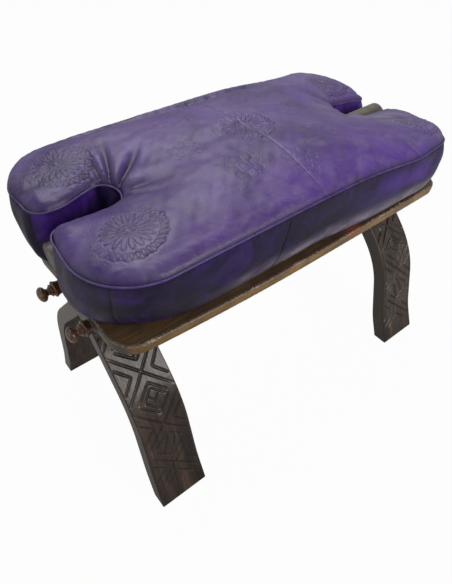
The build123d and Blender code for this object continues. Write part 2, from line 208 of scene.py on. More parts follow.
def carved_depth(along, across, half_face, seed):
    """Depth of the carving, from 0 to 1, at places along and across a leg's outer face."""
    rng = np.random.default_rng(seed)
    depth = np.zeros_like(along)
    for count in range(4):
        crossing = first_crossing + count * carving_pitch
        slip = rng.uniform(-0.0012, 0.0012, 12)
        arm = half_face * 0.98
        for side in (-1, 1):
            # The two long grooves through the crossing
            start, end = (crossing - arm, -side * arm + slip[0]), (crossing + arm, side * arm + slip[1])
            depth = np.maximum(depth, stroke(along, across, start, end))
            # Chevrons that open to the edges of the board
            apex = chevron_offset * sqrt(2.0)
            for way in (-1, 1):
                reach = arm - apex
                depth = np.maximum(depth, 0.9 * stroke(
                    along, across, (crossing + slip[2] - way * 0.001, side * apex),
                    (crossing + way * reach * 0.92, side * (apex + reach * 0.92) + slip[3]),
                ))
                # Chevrons above and below, which close to a diamond with the next crossing's
                depth = np.maximum(depth, 0.9 * stroke(
                    along, across, (crossing + way * apex, slip[4] - side * 0.001),
                    (crossing + way * (apex + 0.024), side * 0.0245 + slip[5]),
                ))
        # The ladder in the diamond above the crossing
        diamond = crossing + carving_pitch / 2.0
        if count % 2 == 1:
            for start, end in (
                ((0.0170, -0.0010), (-0.0010, -0.0190)), ((0.0170, -0.0010), (-0.0010, 0.0170)),
                ((0.0080, -0.0110), (-0.0085, 0.0055)), ((-0.0085, 0.0055), (-0.0175, -0.0035)),
                ((0.0010, 0.0150), (-0.0165, -0.0020)), ((0.0080, 0.0085), (-0.0010, -0.0005)),
            ):
                depth = np.maximum(depth, 0.9 * stroke(
                    along, across, (diamond + start[0], start[1]), (diamond + end[0], end[1]), 0.0015))
        else:
            for rung in (-2, -1, 0, 1, 2):
                for nick in (-1, 1):
                    middle = (diamond + rung * 0.0068 + nick * 0.0030, -rung * 0.0026 + nick * 0.0062)
                    depth = np.maximum(depth, stroke(
                        along, across, (middle[0] - 0.0034, middle[1] + 0.0034),
                        (middle[0] + 0.0034, middle[1] - 0.0034), 0.0017,
                    ))
    return depth


def new_mesh(name, points, faces, material, flat=0):
    """A mesh with one material, smooth but for its last faces, whose number is given."""
    mesh = bpy.data.meshes.new(name)
    mesh.from_pydata(np.asarray(points).tolist(), [], [list(map(int, face)) for face in faces])
    mesh.polygons.foreach_set("use_smooth", np.arange(len(faces)) < len(faces) - flat)
    mesh.materials.append(material)
    return mesh


def turn_outwards(mesh):
    """Turns all faces of a closed mesh to look outwards."""
    shell = bmesh.new()
    shell.from_mesh(mesh)
    bmesh.ops.recalc_face_normals(shell, faces=shell.faces)
    shell.to_mesh(mesh)
    shell.free()


def add_piece(name, mesh, body, slot, *nodes):
    """The mesh as a piece on a body, standing for the CAD nodes, which it hides. Its slot is not used."""
    piece = bpy.data.objects.new(name, mesh)
    bpy.context.scene.collection.objects.link(piece)
    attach(piece, body)
    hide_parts(*nodes)
    return piece


def paint(mesh, name, values, kind="FLOAT"):
    """Puts a number or a vector on each of a mesh's points, under a name that a material reads."""
    attribute = mesh.attributes.new(name, kind, "POINT")
    attribute.data.foreach_set("vector" if kind == "FLOAT_VECTOR" else "value", np.ravel(values))


def add_leg(end_name, side_name, end, side, seed):
    """One carved leg in the place of its CAD board."""
    node = f"leg_{end_name}_{side_name}"
    outline, xyz = side_outline(node, end)
    sole, top = xyz[:, 2] < 0.001, xyz[:, 2] > xyz[:, 2].max() - 0.001
    foot = (end * np.abs(xyz[sole, 0]).min(), end * np.abs(xyz[sole, 0]).max())
    neck = (end * np.abs(xyz[top, 0]).min(), end * np.abs(xyz[top, 0]).max())
    # The outline starts at the sole's outer corner. Walk it so that the outer face comes first.
    if outline[1, 1] < 0.001:
        outline = np.vstack([outline[:1], outline[:0:-1]])
    neck_corner = np.argmax(outline[:, 1] * 1000.0 + np.abs(outline[:, 0]))
    outer, along = evenly(outline[: neck_corner + 1], carving_step)
    inner = outline[neck_corner + 1:]
    tangent = np.gradient(outer, axis=0)
    tangent /= np.hypot(*tangent.T)[:, None]
    normal = np.column_stack([tangent[:, 1], -tangent[:, 0]]) * side
    half_face = abs(foot[1] - foot[0]) / 2.0
    rounds = edge_round * (1.0 - np.cos(np.linspace(0.0, pi / 2.0, 5)))
    inside = np.linspace(edge_round, 2.0 * half_face - edge_round, int(2.0 * half_face / carving_step))
    across = np.concatenate([rounds[:-1], inside, 2.0 * half_face - rounds[-2::-1]])
    from_edge = np.minimum(across, 2.0 * half_face - across)
    worn = edge_round - np.sqrt(np.maximum(edge_round**2 - np.maximum(edge_round - from_edge, 0.0) ** 2, 0.0))
    s, v = np.meshgrid(along, across - half_face, indexing="ij")
    carved = carved_depth(s, v, half_face, seed) * (s < carving_top)
    sink = worn[None, :] + carved * groove_depth
    flat_yz = outer[:, None, :] - normal[:, None, :] * sink[..., None]
    share = (across / (2.0 * half_face))[None, :]
    lean = (outer[:, 1] / xyz[:, 2].max())[:, None]
    low_x = foot[0] + (neck[0] - foot[0]) * lean
    high_x = foot[1] + (neck[1] - foot[1]) * lean
    x = low_x + (high_x - low_x) * share
    rows, columns = x.shape
    grid = np.dstack([x, flat_yz]).reshape(-1, 3)
    inner_lean = inner[:, 1] / xyz[:, 2].max()
    back = [np.column_stack([foot[k] + (neck[k] - foot[k]) * inner_lean, inner]) for k in (0, 1)]
    points = np.vstack([grid, *back])
    points[:, 2] = np.maximum(points[:, 2], 0.0)
    number = np.arange(rows * columns).reshape(rows, columns)
    quads = np.stack([number[:-1, :-1], number[1:, :-1], number[1:, 1:], number[:-1, 1:]], axis=-1)
    quads = quads.reshape(-1, 4)
    low = rows * columns + np.arange(len(inner))
    high = low + len(inner)
    faces = quads.tolist()
    faces += [[a, b, c, d] for a, b, c, d in zip(low[:-1], low[1:], high[1:], high[:-1])]
    faces.append([int(low[0]), *number[-1, :].tolist(), int(high[0])])
    faces.append([int(high[-1]), *number[0, ::-1].tolist(), int(low[-1])])
    faces.append(number[:, 0].tolist() + low.tolist())
    faces.append(number[:, -1].tolist() + high.tolist())
    mesh = new_mesh(f"carved_{node}", points, faces, leg_material, flat=len(faces) - len(quads))
    paint(mesh, "cut", np.concatenate([carved.ravel(), np.zeros(2 * len(inner))]))
    # The grain follows the board: U runs up the leg and V across it
    up_grain = np.column_stack([s.ravel(), v.ravel(), np.full(s.size, seed * 0.37)])
    back_grain = [
        np.column_stack([inner[:, 1] * 1.1, np.full(len(inner), k), inner[:, 0] + seed]) for k in foot]
    paint(mesh, "grain", np.vstack([up_grain, *back_grain]), "FLOAT_VECTOR")
    turn_outwards(mesh)
    add_piece(f"carved_{node}", mesh, "frame", "leg_wood", node)


def group_ends(name, inputs, outputs):
    """An empty shader node group with its sockets, its input node and its output node."""
    tree = bpy.data.node_groups.new(name, "ShaderNodeTree")
    for socket, kind, value in inputs:
        made = tree.interface.new_socket(socket, in_out="INPUT", socket_type=kind)
        if value is not None:
            made.default_value = value
    for socket, kind in outputs:
        tree.interface.new_socket(socket, in_out="OUTPUT", socket_type=kind)
    return tree, tree.nodes.new("NodeGroupInput"), tree.nodes.new("NodeGroupOutput")


def mixed(tree, factor, first, second, blend="MIX"):
    """The colour output of a colour mix."""
    node = put(tree, "ShaderNodeMix", data_type="RGBA", blend_type=blend)
    for socket, value in ((node.inputs[0], factor), (node.inputs[6], first), (node.inputs[7], second)):
        if isinstance(value, bpy.types.NodeSocket):
            tree.links.new(value, socket)
        else:
            socket.default_value = value
    return node.outputs[2]


def ranged(tree, value, low, high, to_low, to_high):
    """A value moved from one range to another, and held inside it."""
    node = put(tree, "ShaderNodeMapRange", {0: value, 1: low, 2: high, 3: to_low, 4: to_high})
    return node.outputs[0]


def noise(tree, place, scale, detail, roughness=0.5, distortion=0.0):
    """Clouds from about 0 to 1, of a size that goes down as the scale goes up."""
    node = put(tree, "ShaderNodeTexNoise", {
        "Vector": place, "Scale": scale, "Detail": detail, "Roughness": roughness, "Distortion": distortion})
    return node.outputs["Fac"]


def wood_figure_group():
    """Grain of stained wood: fibres stretched along X of the given place, pores, and blotches."""
    colour, number = "NodeSocketColor", "NodeSocketFloat"
    tree, given, out = group_ends(
        "wood_figure",
        [("Place", "NodeSocketVector", None), ("Dark", colour, (0.02, 0.02, 0.02, 1)),
         ("Pale", colour, (0.1, 0.1, 0.1, 1)), ("Fibre", number, 260.0), ("Stretch", number, 0.06),
         ("Gloss", number, 0.4)],
        [("Colour", colour), ("Roughness", number), ("Height", number)],
    )
    stretch = put(tree, "ShaderNodeCombineXYZ", {"X": given.outputs["Stretch"], "Y": 1.0, "Z": 1.0})
    place = put(tree, "ShaderNodeVectorMath", {
        0: given.outputs["Place"], 1: stretch.outputs[0]}, operation="MULTIPLY").outputs[0]
    fibres = noise(tree, place, given.outputs["Fibre"], 6.0, 0.6, 0.4)
    bands = noise(tree, place, 55.0, 3.0, 0.5, 1.2)
    blotches = noise(tree, given.outputs["Place"], 24.0, 4.0, 0.6)
    fine = ranged(tree, fibres, 0.3, 0.72, 0.0, 1.0)
    wide = ranged(tree, bands, 0.32, 0.68, 0.0, 1.0)
    share = worked(tree, "MULTIPLY", fine, wide)
    tone = mixed(tree, share, given.outputs["Dark"], given.outputs["Pale"])
    cloud = ranged(tree, blotches, 0.35, 0.7, 0.65, 1.2)
    tree.links.new(mixed(tree, 1.0, tone, cloud, "MULTIPLY"), out.inputs["Colour"])
    rough = ranged(tree, fibres, 0.3, 0.7, 0.08, -0.04)
    tree.links.new(worked(tree, "ADD", rough, given.outputs["Gloss"]), out.inputs["Roughness"])
    tree.links.new(share, out.inputs["Height"])
    return tree


wood_figure = wood_figure_group()


def new_material(name):
    """A material with only its surface shader and output."""
    material = bpy.data.materials.new(name)
    material.use_nodes = True
    tree = material.node_tree
    tree.nodes.clear()
    shader = put(tree, "ShaderNodeBsdfPrincipled")
    put(tree, "ShaderNodeOutputMaterial", {"Surface": shader.outputs[0]})
    return material, tree, shader


def finish_surface(tree, shader, colour, roughness, height, distance):
    """Links a surface's colour, roughness and height to its shader."""
    tree.links.new(colour, shader.inputs["Base Color"])
    tree.links.new(roughness, shader.inputs["Roughness"])
    bump = put(tree, "ShaderNodeBump", {"Height": height, "Distance": distance, "Strength": 1.0})
    tree.links.new(bump.outputs[0], shader.inputs["Normal"])


def figured(tree, figure, place, **values):
    """A figure group's node in a material's tree, at a place and with some of its inputs given."""
    node = put(tree, "ShaderNodeGroup", node_tree=figure)
    tree.links.new(place, node.inputs["Place"])
    for name, value in values.items():
        if isinstance(value, bpy.types.NodeSocket):
            tree.links.new(value, node.inputs[name])
        else:
            node.inputs[name].default_value = (*value, 1) if isinstance(value, tuple) else value
    return node.outputs


def carved_wood_material():
    """Dark stained and waxed wood. The cuts are painted darker as shade, and the narrow ends of the board are
    painted lighter as a reflection of light from the side.
    """
    material, tree, shader = new_material("dark_carved_wood")
    place = put(tree, "ShaderNodeAttribute", attribute_name="grain").outputs["Vector"]
    figure = figured(
        tree, wood_figure, place, Dark=(0.020, 0.012, 0.008), Pale=(0.120, 0.072, 0.048), Gloss=0.33)
    cut = put(tree, "ShaderNodeAttribute", attribute_name="cut")
    # Painted shade: the carved cuts darken towards near black.
    lip = ranged(tree, cut.outputs["Fac"], 0.25, 0.9, 0.0, 0.75)
    bare = mixed(tree, lip, figure["Colour"], (0.012, 0.008, 0.007, 1))
    # Painted reflection: the narrow end faces, which face along X, are lightened to a warm grey.
    facing = put(tree, "ShaderNodeNewGeometry")
    axes = put(tree, "ShaderNodeSeparateXYZ", {0: facing.outputs["True Normal"]})
    end_share = ranged(tree, worked(tree, "ABSOLUTE", axes.outputs[0]), 0.85, 0.98, 0.0, 0.7)
    colour = mixed(tree, end_share, bare, (0.105, 0.087, 0.072, 1))
    finish_surface(tree, shader, colour, figure["Roughness"], figure["Height"], 0.0002)
    shader.inputs["Specular IOR Level"].default_value = 0.45
    shader.inputs["Coat Weight"].default_value = 0.10
    shader.inputs["Coat Roughness"].default_value = 0.2
    return material


leg_material = carved_wood_material()
ends = {"left": -1, "right": 1}
sides = {"near": -1, "far": 1}
seed = 3
for end_name, end in ends.items():
    for side_name, side in sides.items():
        add_leg(end_name, side_name, end, side, seed)
        seed += 1


# Pegs, ridge pole and nails: a grey-brown round pole, whittled pegs of the same wood, and square
# forged nails. All keep their CAD shapes.
def plain_wood_material(name, dark, pale, gloss, coat=0.0):
    """Wood with its grain along X in the object's own coordinates."""
    material, tree, shader = new_material(name)
    place = put(tree, "ShaderNodeTexCoord").outputs["Object"]
    figure = figured(tree, wood_figure, place, Dark=dark, Pale=pale, Gloss=gloss)
    finish_surface(tree, shader, figure["Colour"], figure["Roughness"], figure["Height"], 0.0003)
    shader.inputs["Coat Weight"].default_value = coat
    shader.inputs["Coat Roughness"].default_value = 0.25
    return material


def dress(node, material):
    """Gives a CAD node its material."""
    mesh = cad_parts[node].data
    mesh.materials.clear()
    mesh.materials.append(material)


pole_wood = plain_wood_material("grey_pole_wood", (0.085, 0.072, 0.060), (0.33, 0.285, 0.235), 0.5)
for node in ("ridge_pole", "pole_pegs", "neck_pegs_left", "neck_pegs_right"):
    dress(node, pole_wood)


def forged_iron_material():
    """Dark iron with a dull skin and specks of rust."""
    material, tree, shader = new_material("forged_iron")
    specks = noise(tree, put(tree, "ShaderNodeTexCoord").outputs["Object"], 900.0, 4.0)
    share = ranged(tree, specks, 0.45, 0.65, 0.0, 1.0)
    colour = mixed(tree, share, (0.09, 0.085, 0.08, 1), (0.16, 0.075, 0.04, 1))
    rough = ranged(tree, specks, 0.3, 0.7, 0.4, 0.7)
    finish_surface(tree, shader, colour, rough, specks, 0.0001)
    shader.inputs["Metallic"].default_value = 0.8
    return material


nail_iron = forged_iron_material()
for node in ("rail_nails_near", "rail_nails_far", "board_nails_near", "board_nails_far"):
    dress(node, nail_iron)


# Side rails: turned from one stick each, with a bead, a groove, a thin neck and a button knob at
# both ends. Reddish brown and polished, they run under the side boards.
def turned_rail(side_name):
    """A rail as a revolved outline with rounded beads, in the place of its CAD rail."""
    node = f"side_rail_{side_name}"
    low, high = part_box(node)
    axis_y, axis_z = (low.y + high.y) / 2.0, (low.z + high.z) / 2.0
    rail = (high.z - low.z) / 2.0
    tip = high.x
    # Half an outline from the knob's tip inwards, as (distance in from the tip, radius)
    knob = [(0.0064 - 0.0064 * cos(turn), 0.0104 * sin(turn)) for turn in np.linspace(0.0, 0.8 * pi, 22)]
    neck = [(0.0126, 0.0049), (0.0136, 0.0046), (0.0150, 0.0049), (0.0163, 0.0061), (0.0175, 0.0077),
            (0.0181, 0.0085), (0.0187, 0.0086), (0.0193, 0.0074), (0.0197, 0.0073), (0.0202, 0.0082)]
    bead = [(0.0212, 0.0101), (0.0220, 0.0109), (0.0229, 0.0112), (0.0238, 0.0109), (0.0250, 0.0101),
            (0.0275, 0.0093), (0.0300, 0.0088), (0.0313, 0.0086), (0.0318, 0.0093), (0.0330, 0.0108),
            (0.0343, rail - 0.0001), (0.0360, rail), (0.1500, rail), (0.2500, rail)]
    half = knob + neck + bead
    outline = [(tip - inwards, radius) for inwards, radius in half]
    outline += [(-x, radius) for x, radius in reversed(outline)]
    turns = np.linspace(0.0, 2.0 * pi, 48, endpoint=False)
    rings = np.array([
        [(x, axis_y + r * cos(t), axis_z + r * sin(t)) for t in turns] for x, r in outline[1:-1]])
    count, around = rings.shape[:2]
    number = np.arange(count * around).reshape(count, around)
    after = np.roll(number, -1, axis=1)
    faces = np.stack([number[:-1], number[1:], after[1:], after[:-1]], axis=-1).reshape(-1, 4).tolist()
    points = rings.reshape(-1, 3).tolist() + [(tip, axis_y, axis_z), (-tip, axis_y, axis_z)]
    first, last = count * around, count * around + 1
    faces += [[first, int(a), int(b)] for a, b in zip(number[0], after[0])]
    faces += [[last, int(b), int(a)] for a, b in zip(number[-1], after[-1])]
    mesh = new_mesh(f"turned_{node}", points, faces, rail_wood)
    turn_outwards(mesh)
    add_piece(f"turned_{node}", mesh, "frame", "rail_wood", node)


rail_wood = plain_wood_material(
    "polished_rail_wood", (0.040, 0.016, 0.007), (0.260, 0.110, 0.042), 0.24, coat=0.4)
for side_name in sides:
    turned_rail(side_name)


# Side boards: shaped planks that slope down outwards on the rails. Brown stain with a golden grain,
# their edges rounded by use and worn pale along the outer arris, the sawn ends nearly black.
board_slope = radians(7.0)
board_thickness = 0.0165
board_inner_reach = 0.0296
board_end_reach = 0.119
board_middle_reach = 0.130
board_right_reach = 0.1285
board_corners = {"left": 0.038, "right": 0.020}
board_overhang = 0.004
rail_low, rail_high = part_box("side_rail_far")
rail_reach = (rail_low.y + rail_high.y) / 2.0
rail_middle = (rail_low.z + rail_high.z) / 2.0
rail_radius = (rail_high.z - rail_low.z) / 2.0


def board_plan(half_length, step=0.0022):
    """Points round a board's plan as (along the stool, outwards), evenly spaced."""
    def bow(x):
        return board_middle_reach - (board_right_reach if x > 0 else board_end_reach)

    def edge(x):
        return board_middle_reach - bow(x) * (x / half_length) ** 2

    corners = []
    for end_name, radius in board_corners.items():
        end = ends[end_name]
        slope = -2.0 * bow(end) * (half_length - radius) / half_length**2
        middle_x = end * (half_length - radius) + board_overhang * (end > 0)
        middle_y = edge(end * (half_length - radius)) - radius
        turns = np.linspace(0.0, pi / 2.0 + atan(slope), 14)
        corners.append([(middle_x + end * radius * cos(t), middle_y + radius * sin(t)) for t in turns])
    left, right = corners[0], corners[1]
    outer = [(x, edge(x)) for x in np.linspace(left[-1][0], right[-1][0], 120)]
    loop = [(-half_length, board_inner_reach), *left, *outer[1:-1], *reversed(right),
            (half_length + board_overhang, board_inner_reach)]
    loop = np.array([*loop, loop[0]])
    return evenly(loop, step)[0][:-1]


def outward(loop):
    """Level directions that look out of a closed line, one for each of its points."""
    ahead = np.roll(loop, -1, axis=0) - np.roll(loop, 1, axis=0)
    ahead /= np.hypot(*ahead.T)[:, None]
    return np.column_stack([-ahead[:, 1], ahead[:, 0]])


def add_board(side_name, side, seed):
    """A worn side board in the place of its CAD board."""
    node = f"side_board_{side_name}"
    plan = board_plan(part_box(node)[1].x)
    out = outward(plan)
    rng = np.random.default_rng(seed)
    wear = np.zeros(len(plan))
    for _ in range(26):
        where, wide = rng.uniform(0, len(plan)), rng.uniform(1.0, 9.0)
        halfway = len(plan) / 2
        away = np.abs((np.arange(len(plan)) - where + halfway) % len(plan) - halfway)
        wear += rng.uniform(0.1, 0.9) * np.exp(-((away / wide) ** 2))
    # Round the edge from the lower face to the upper one, as (how far in, how far up)
    profile = [(0.0030, 0.0), (0.0012, 0.0005), (0.0003, 0.0016), (0.0, 0.0035), (0.0, 0.0085), (0.0, 0.0132),
               (0.0004, 0.0151), (0.0012, 0.0161), (0.0026, 0.0165), (0.0050, 0.0165)]
    points, rubbed = [], []
    for inset, rise in profile:
        arris = exp(-((rise - 0.0156) / 0.0012) ** 2) * (inset < 0.004)
        sunk = inset + 0.0007 * arris * wear + 0.00008 * rng.normal(size=len(plan))
        x, reach = (plan - out * sunk[:, None]).T
        reach = reach - rail_reach
        points.append(np.column_stack([
            x,
            side * (rail_reach + (rail_radius + rise) * sin(board_slope) + reach),
            rail_middle + (rail_radius + rise) * cos(board_slope) - reach * tan(board_slope),
        ]))
        rubbed.append(np.clip(arris * (0.35 + wear), 0.0, 1.0))
    count = len(plan)
    number = np.arange(len(profile) * count).reshape(len(profile), count)
    after = np.roll(number, -1, axis=1)
    faces = np.stack([number[:-1], after[:-1], after[1:], number[1:]], axis=-1).reshape(-1, 4).tolist()
    faces += [number[0].tolist(), number[-1].tolist()]
    mesh = new_mesh(f"worn_{node}", np.vstack(points), faces, board_wood, flat=2)
    paint(mesh, "rubbed", np.concatenate(rubbed))
    turn_outwards(mesh)
    add_piece(f"worn_{node}", mesh, "frame", "board_wood", node)


def board_material():
    """Brown stained board: golden edges with a pale worn arris, dark ends, and one orange stain."""
    material, tree, shader = new_material("brown_board_wood")
    place = put(tree, "ShaderNodeTexCoord").outputs["Object"]
    figure = figured(
        tree, wood_figure, place, Dark=(0.058, 0.033, 0.015), Pale=(0.155, 0.092, 0.040), Gloss=0.36,
        Fibre=420.0, Stretch=0.035)
    facing = put(tree, "ShaderNodeNewGeometry")
    turned = put(tree, "ShaderNodeSeparateXYZ", {0: facing.outputs["Normal"]})
    edge = ranged(tree, worked(tree, "ABSOLUTE", turned.outputs[2]), 0.75, 0.3, 0.0, 1.0)
    golden = mixed(tree, edge, figure["Colour"], (2.55, 2.40, 1.45, 1), "MULTIPLY")
    at_end = ranged(tree, worked(tree, "ABSOLUTE", turned.outputs[0]), 0.45, 0.75, 0.0, 0.85)
    ended = mixed(tree, at_end, golden, (0.028, 0.025, 0.022, 1))
    rubbed = put(tree, "ShaderNodeAttribute", attribute_name="rubbed").outputs["Fac"]
    speck = ranged(tree, noise(tree, place, 330.0, 5.0), 0.42, 0.62, 0.0, 1.0)
    bare = worked(tree, "MULTIPLY", rubbed, speck, clamp=True)
    worn = mixed(tree, bare, ended, (0.42, 0.34, 0.28, 1))
    # A spilt orange stain near the right end of the near board
    away = put(tree, "ShaderNodeVectorMath", {0: place, 1: (0.093, -0.119, 0.302)}, operation="DISTANCE")
    uneven = worked(tree, "MULTIPLY_ADD", noise(tree, place, 70.0, 4.0), 0.03, away.outputs["Value"])
    stain = ranged(tree, uneven, 0.024, 0.038, 0.6, 0.0)
    colour = mixed(tree, stain, worn, (0.300, 0.070, 0.022, 1))
    finish_surface(tree, shader, colour, figure["Roughness"], figure["Height"], 0.0004)
    shader.inputs["Coat Weight"].default_value = 0.12
    shader.inputs["Coat Roughness"].default_value = 0.25
    return material


board_wood = board_material()
add_board("near", -1, 21)
add_board("far", 1, 22)


# Stuffing: wool and rags packed into the H-shaped cushion, which has a notch in each end for the pole.
# A cloth simulation blows it up from a smaller form, held at the seams and on the boards. The seams,
# the crown and the sunk right end are laid out here for the leather too.
half_length = 0.289
half_width = 0.154
corner_radius = 0.076
lip_radius = 0.022
notch_radius = 0.0217
notch_depth = 0.1006
cushion_middle = -0.004
seam_level = 0.4235
crown_height = 0.0235
crown_reach = 0.078
sag_start = 0.060
sag_slope = 0.1556
sag_ease = 0.040
# Where the stuffed outline leaves its regular plan: (place), how far round it, (move)
settled_spots = [
    ((-0.296, -0.040), 0.022, (0.0032, 0.0)),
    ((-0.292, 0.046), 0.030, (0.0034, 0.0036)),
    ((-0.286, 0.110), 0.030, (0.0040, -0.0010)),
    ((0.225, -0.152), 0.040, (0.0, 0.0105)),
    ((0.283, 0.040), 0.028, (-0.0050, 0.0)),
    ((0.285, -0.050), 0.035, (-0.0025, 0.0)),
    ((0.240, 0.135), 0.042, (0.0080, 0.0105)),
]


def smooth_step(value, low, high):
    """0 below one value, 1 above another, with an easy curve between."""
    share = np.clip((value - low) / (high - low), 0.0, 1.0)
    return share * share * (3.0 - 2.0 * share)


def bell(value, width):
    """1 where the value is 0, falling smoothly to 0 on both sides of it."""
    return np.exp(-((value / width) ** 2))


def spot(x, y, place, size):
    """1 at a place, falling smoothly to 0 round it."""
    return bell(np.hypot(x - place[0], y - place[1]), size)


def inward(x, y, side_inset=0.0, end_inset=0.0, notch_inset=0.0, lopsided=False):
    """Distance in from the cushion's outline at places of the plan, below 0 outside it."""
    x_signed = x
    x = np.abs(x - cushion_middle)
    y = np.abs(y)
    corner = corner_radius - end_inset
    over_x = x - (half_length - end_inset - corner)
    over_y = y - (half_width - side_inset - corner)
    from_rim = corner - np.hypot(np.maximum(over_x, 0.0), np.maximum(over_y, 0.0)) - np.minimum(
        np.maximum(over_x, over_y), 0.0)
    notch = notch_radius + notch_inset
    notch_middle = half_length - notch_depth + notch_radius
    from_notch = np.hypot(np.minimum(x - notch_middle, 0.0), y) - notch
    lip = np.maximum(lip_radius - end_inset, 0.004)
    # The crown rises more slowly from the notches than from the rim, most of all at the right end
    slack = np.where(lopsided, 0.26 + 0.20 * smooth_step(x_signed, 0.0, 0.15), 0.0)
    from_notch = from_notch * (1.0 - slack * smooth_step(from_notch, 0.0, 0.012))
    near_lip = (from_rim < lip) & (from_notch < lip)
    rounded = lip - np.hypot(lip - from_rim, lip - from_notch)
    nearest = np.minimum(from_rim, from_notch)
    ease = 0.040 * lopsided
    blend = np.clip(1.0 - np.abs(from_rim - from_notch) / (ease + 1e-9), 0.0, 1.0)
    return np.where(near_lip, rounded, nearest - ease * blend**2 / 4.0 * smooth_step(nearest, 0.010, 0.035))


def sag(x):
    """How far the top hangs down at a place along the cushion: its right end has lost some stuffing."""
    return sag_slope * (np.hypot(x - sag_start, sag_ease) + x - sag_start) / 2.0


def settle_plan(x, y, share=1.0):
    """Moves places of the plan as the stuffed leather sits: the notches spread at their inner ends, the
    near right corner is slack, and the far side is a little waisted. The share fades it down the band."""
    reach = np.abs(x - cushion_middle)
    left = x < cushion_middle
    into_far = np.where(left, smooth_step(x, -0.265, -0.205), 1.0 - 0.25 * smooth_step(x, 0.24, 0.28))
    into_near = np.where(left, smooth_step(x, -0.283, -0.222), 1.0 - smooth_step(x, 0.205, 0.262))
    far_wall = np.where(left, -0.004 + 0.015 * into_far, -0.002 + 0.0145 * into_far)
    near_wall = np.where(left, 0.0070 - 0.0045 * into_near, 0.0030 - 0.0050 * into_near)
    across = smooth_step(y, -notch_radius, notch_radius)
    inner = half_length - notch_depth + notch_radius - reach
    beside = np.maximum(np.hypot(np.maximum(inner, 0.0), y) - notch_radius, 0.0)
    near = bell(beside, 0.028) * share * (reach > 0.10)
    moved_x = x + np.where(left, 0.0035 * into_near, -0.0010) * near
    moved_y = y + (near_wall + (far_wall - near_wall) * across) * near
    for place, wide, (along, aside) in settled_spots:
        weight = share * spot(x, y, place, wide)
        moved_x, moved_y = moved_x + along * weight, moved_y + aside * weight
    waist = smooth_step(y, 0.06, 0.15) * (0.003 + 0.004 * bell(x - 0.02, 0.11))
    return moved_x, moved_y - waist


def crown(distance):
    """Rise of the top leather above its seam at a distance in from the seam."""
    share = 1.0 - np.clip(distance / crown_reach, 0.0, 1.0)
    return crown_height * (1.0 - share**2.4) ** 0.62


def top_height(x, y, distance):
    """Height of the top leather."""
    tucked = 0.0010 * bell(distance, 0.0018)
    far_fall = 0.0035 * (1.0 - smooth_step(x, 0.12, 0.22)) + 0.0060 * bell(x - 0.01, 0.12)
    far_fall = far_fall * smooth_step(y, 0.02, 0.13) * smooth_step(distance, 0.0, 0.02)
    return seam_level - sag(x) + crown(distance) - tucked - far_fall


def leather_figure_group():
    """Dyed leather: uneven dye in wide clouds and vivid pools, and more vivid pools as painted light where
    asked;
    worn in patches, with painted sheen in the worn tone where asked; painted shade where asked; a fine
    pebbled grain."""
    colour, number = "NodeSocketColor", "NodeSocketFloat"
    tree, given, out = group_ends(
        "leather_figure",
        [("Place", "NodeSocketVector", None), ("Dye", colour, (0.08, 0.04, 0.2, 1)),
         ("Deep", colour, (0.03, 0.02, 0.09, 1)), ("Worn", colour, (0.2, 0.17, 0.3, 1)),
         ("Vivid", colour, (0.1, 0.03, 0.3, 1)), ("Wear", number, 0.4), ("Vividness", number, 0.3),
         ("Hollow", number, 0.0), ("Rubbed", number, 0.0), ("Bright", number, 0.0), ("Gloss", number, 0.3)],
        [("Colour", colour), ("Roughness", number), ("Height", number)],
    )
    given = given.outputs
    place = given["Place"]
    clouds = noise(tree, place, 11.0, 5.0, 0.6, 0.6)
    pools = noise(tree, place, 19.0, 6.0, 0.62, 1.1)
    patches = noise(tree, place, 34.0, 6.0, 0.65, 0.8)
    crease = noise(tree, place, 160.0, 5.0, 0.6, 1.5)
    pebbles = put(tree, "ShaderNodeTexVoronoi", {"Vector": place, "Scale": 900.0}, feature="F1")
    dyed = mixed(tree, ranged(tree, clouds, 0.38, 0.62, 0.0, 1.0), given["Dye"], given["Deep"])
    pooled = worked(tree, "MULTIPLY", ranged(tree, pools, 0.48, 0.66, 0.0, 1.0), given["Vividness"])
    # Painted light: more vivid pools where the Bright input asks.
    brightened = worked(tree, "MULTIPLY", ranged(tree, pools, 0.36, 0.56, 0.25, 1.0), given["Bright"])
    base = mixed(tree, worked(tree, "MAXIMUM", pooled, brightened), dyed, given["Vivid"])
    rub = worked(tree, "MULTIPLY", ranged(tree, patches, 0.42, 0.68, 0.0, 1.0), given["Wear"])
    # Painted sheen: the worn tone, in patches, where the sheen attribute asks.
    handled = worked(tree, "MULTIPLY", ranged(tree, patches, 0.30, 0.58, 0.2, 1.0), given["Rubbed"])
    worn = mixed(tree, worked(tree, "MAXIMUM", rub, handled), base, given["Worn"])
    # Painted shade: the deep tone, darkened further, is mixed in where the shade attribute asks.
    dark = mixed(tree, 1.0, given["Deep"], (0.34, 0.28, 0.44, 1), "MULTIPLY")
    tree.links.new(mixed(tree, given["Hollow"], worn, dark), out.inputs["Colour"])
    dull = ranged(tree, patches, 0.3, 0.7, -0.08, 0.12)
    tree.links.new(worked(tree, "ADD", dull, given["Gloss"]), out.inputs["Roughness"])
    fine = worked(tree, "MULTIPLY", pebbles.outputs["Distance"], 0.35)
    tree.links.new(worked(tree, "SUBTRACT", crease, fine), out.inputs["Height"])
    return tree


leather_figure = leather_figure_group()


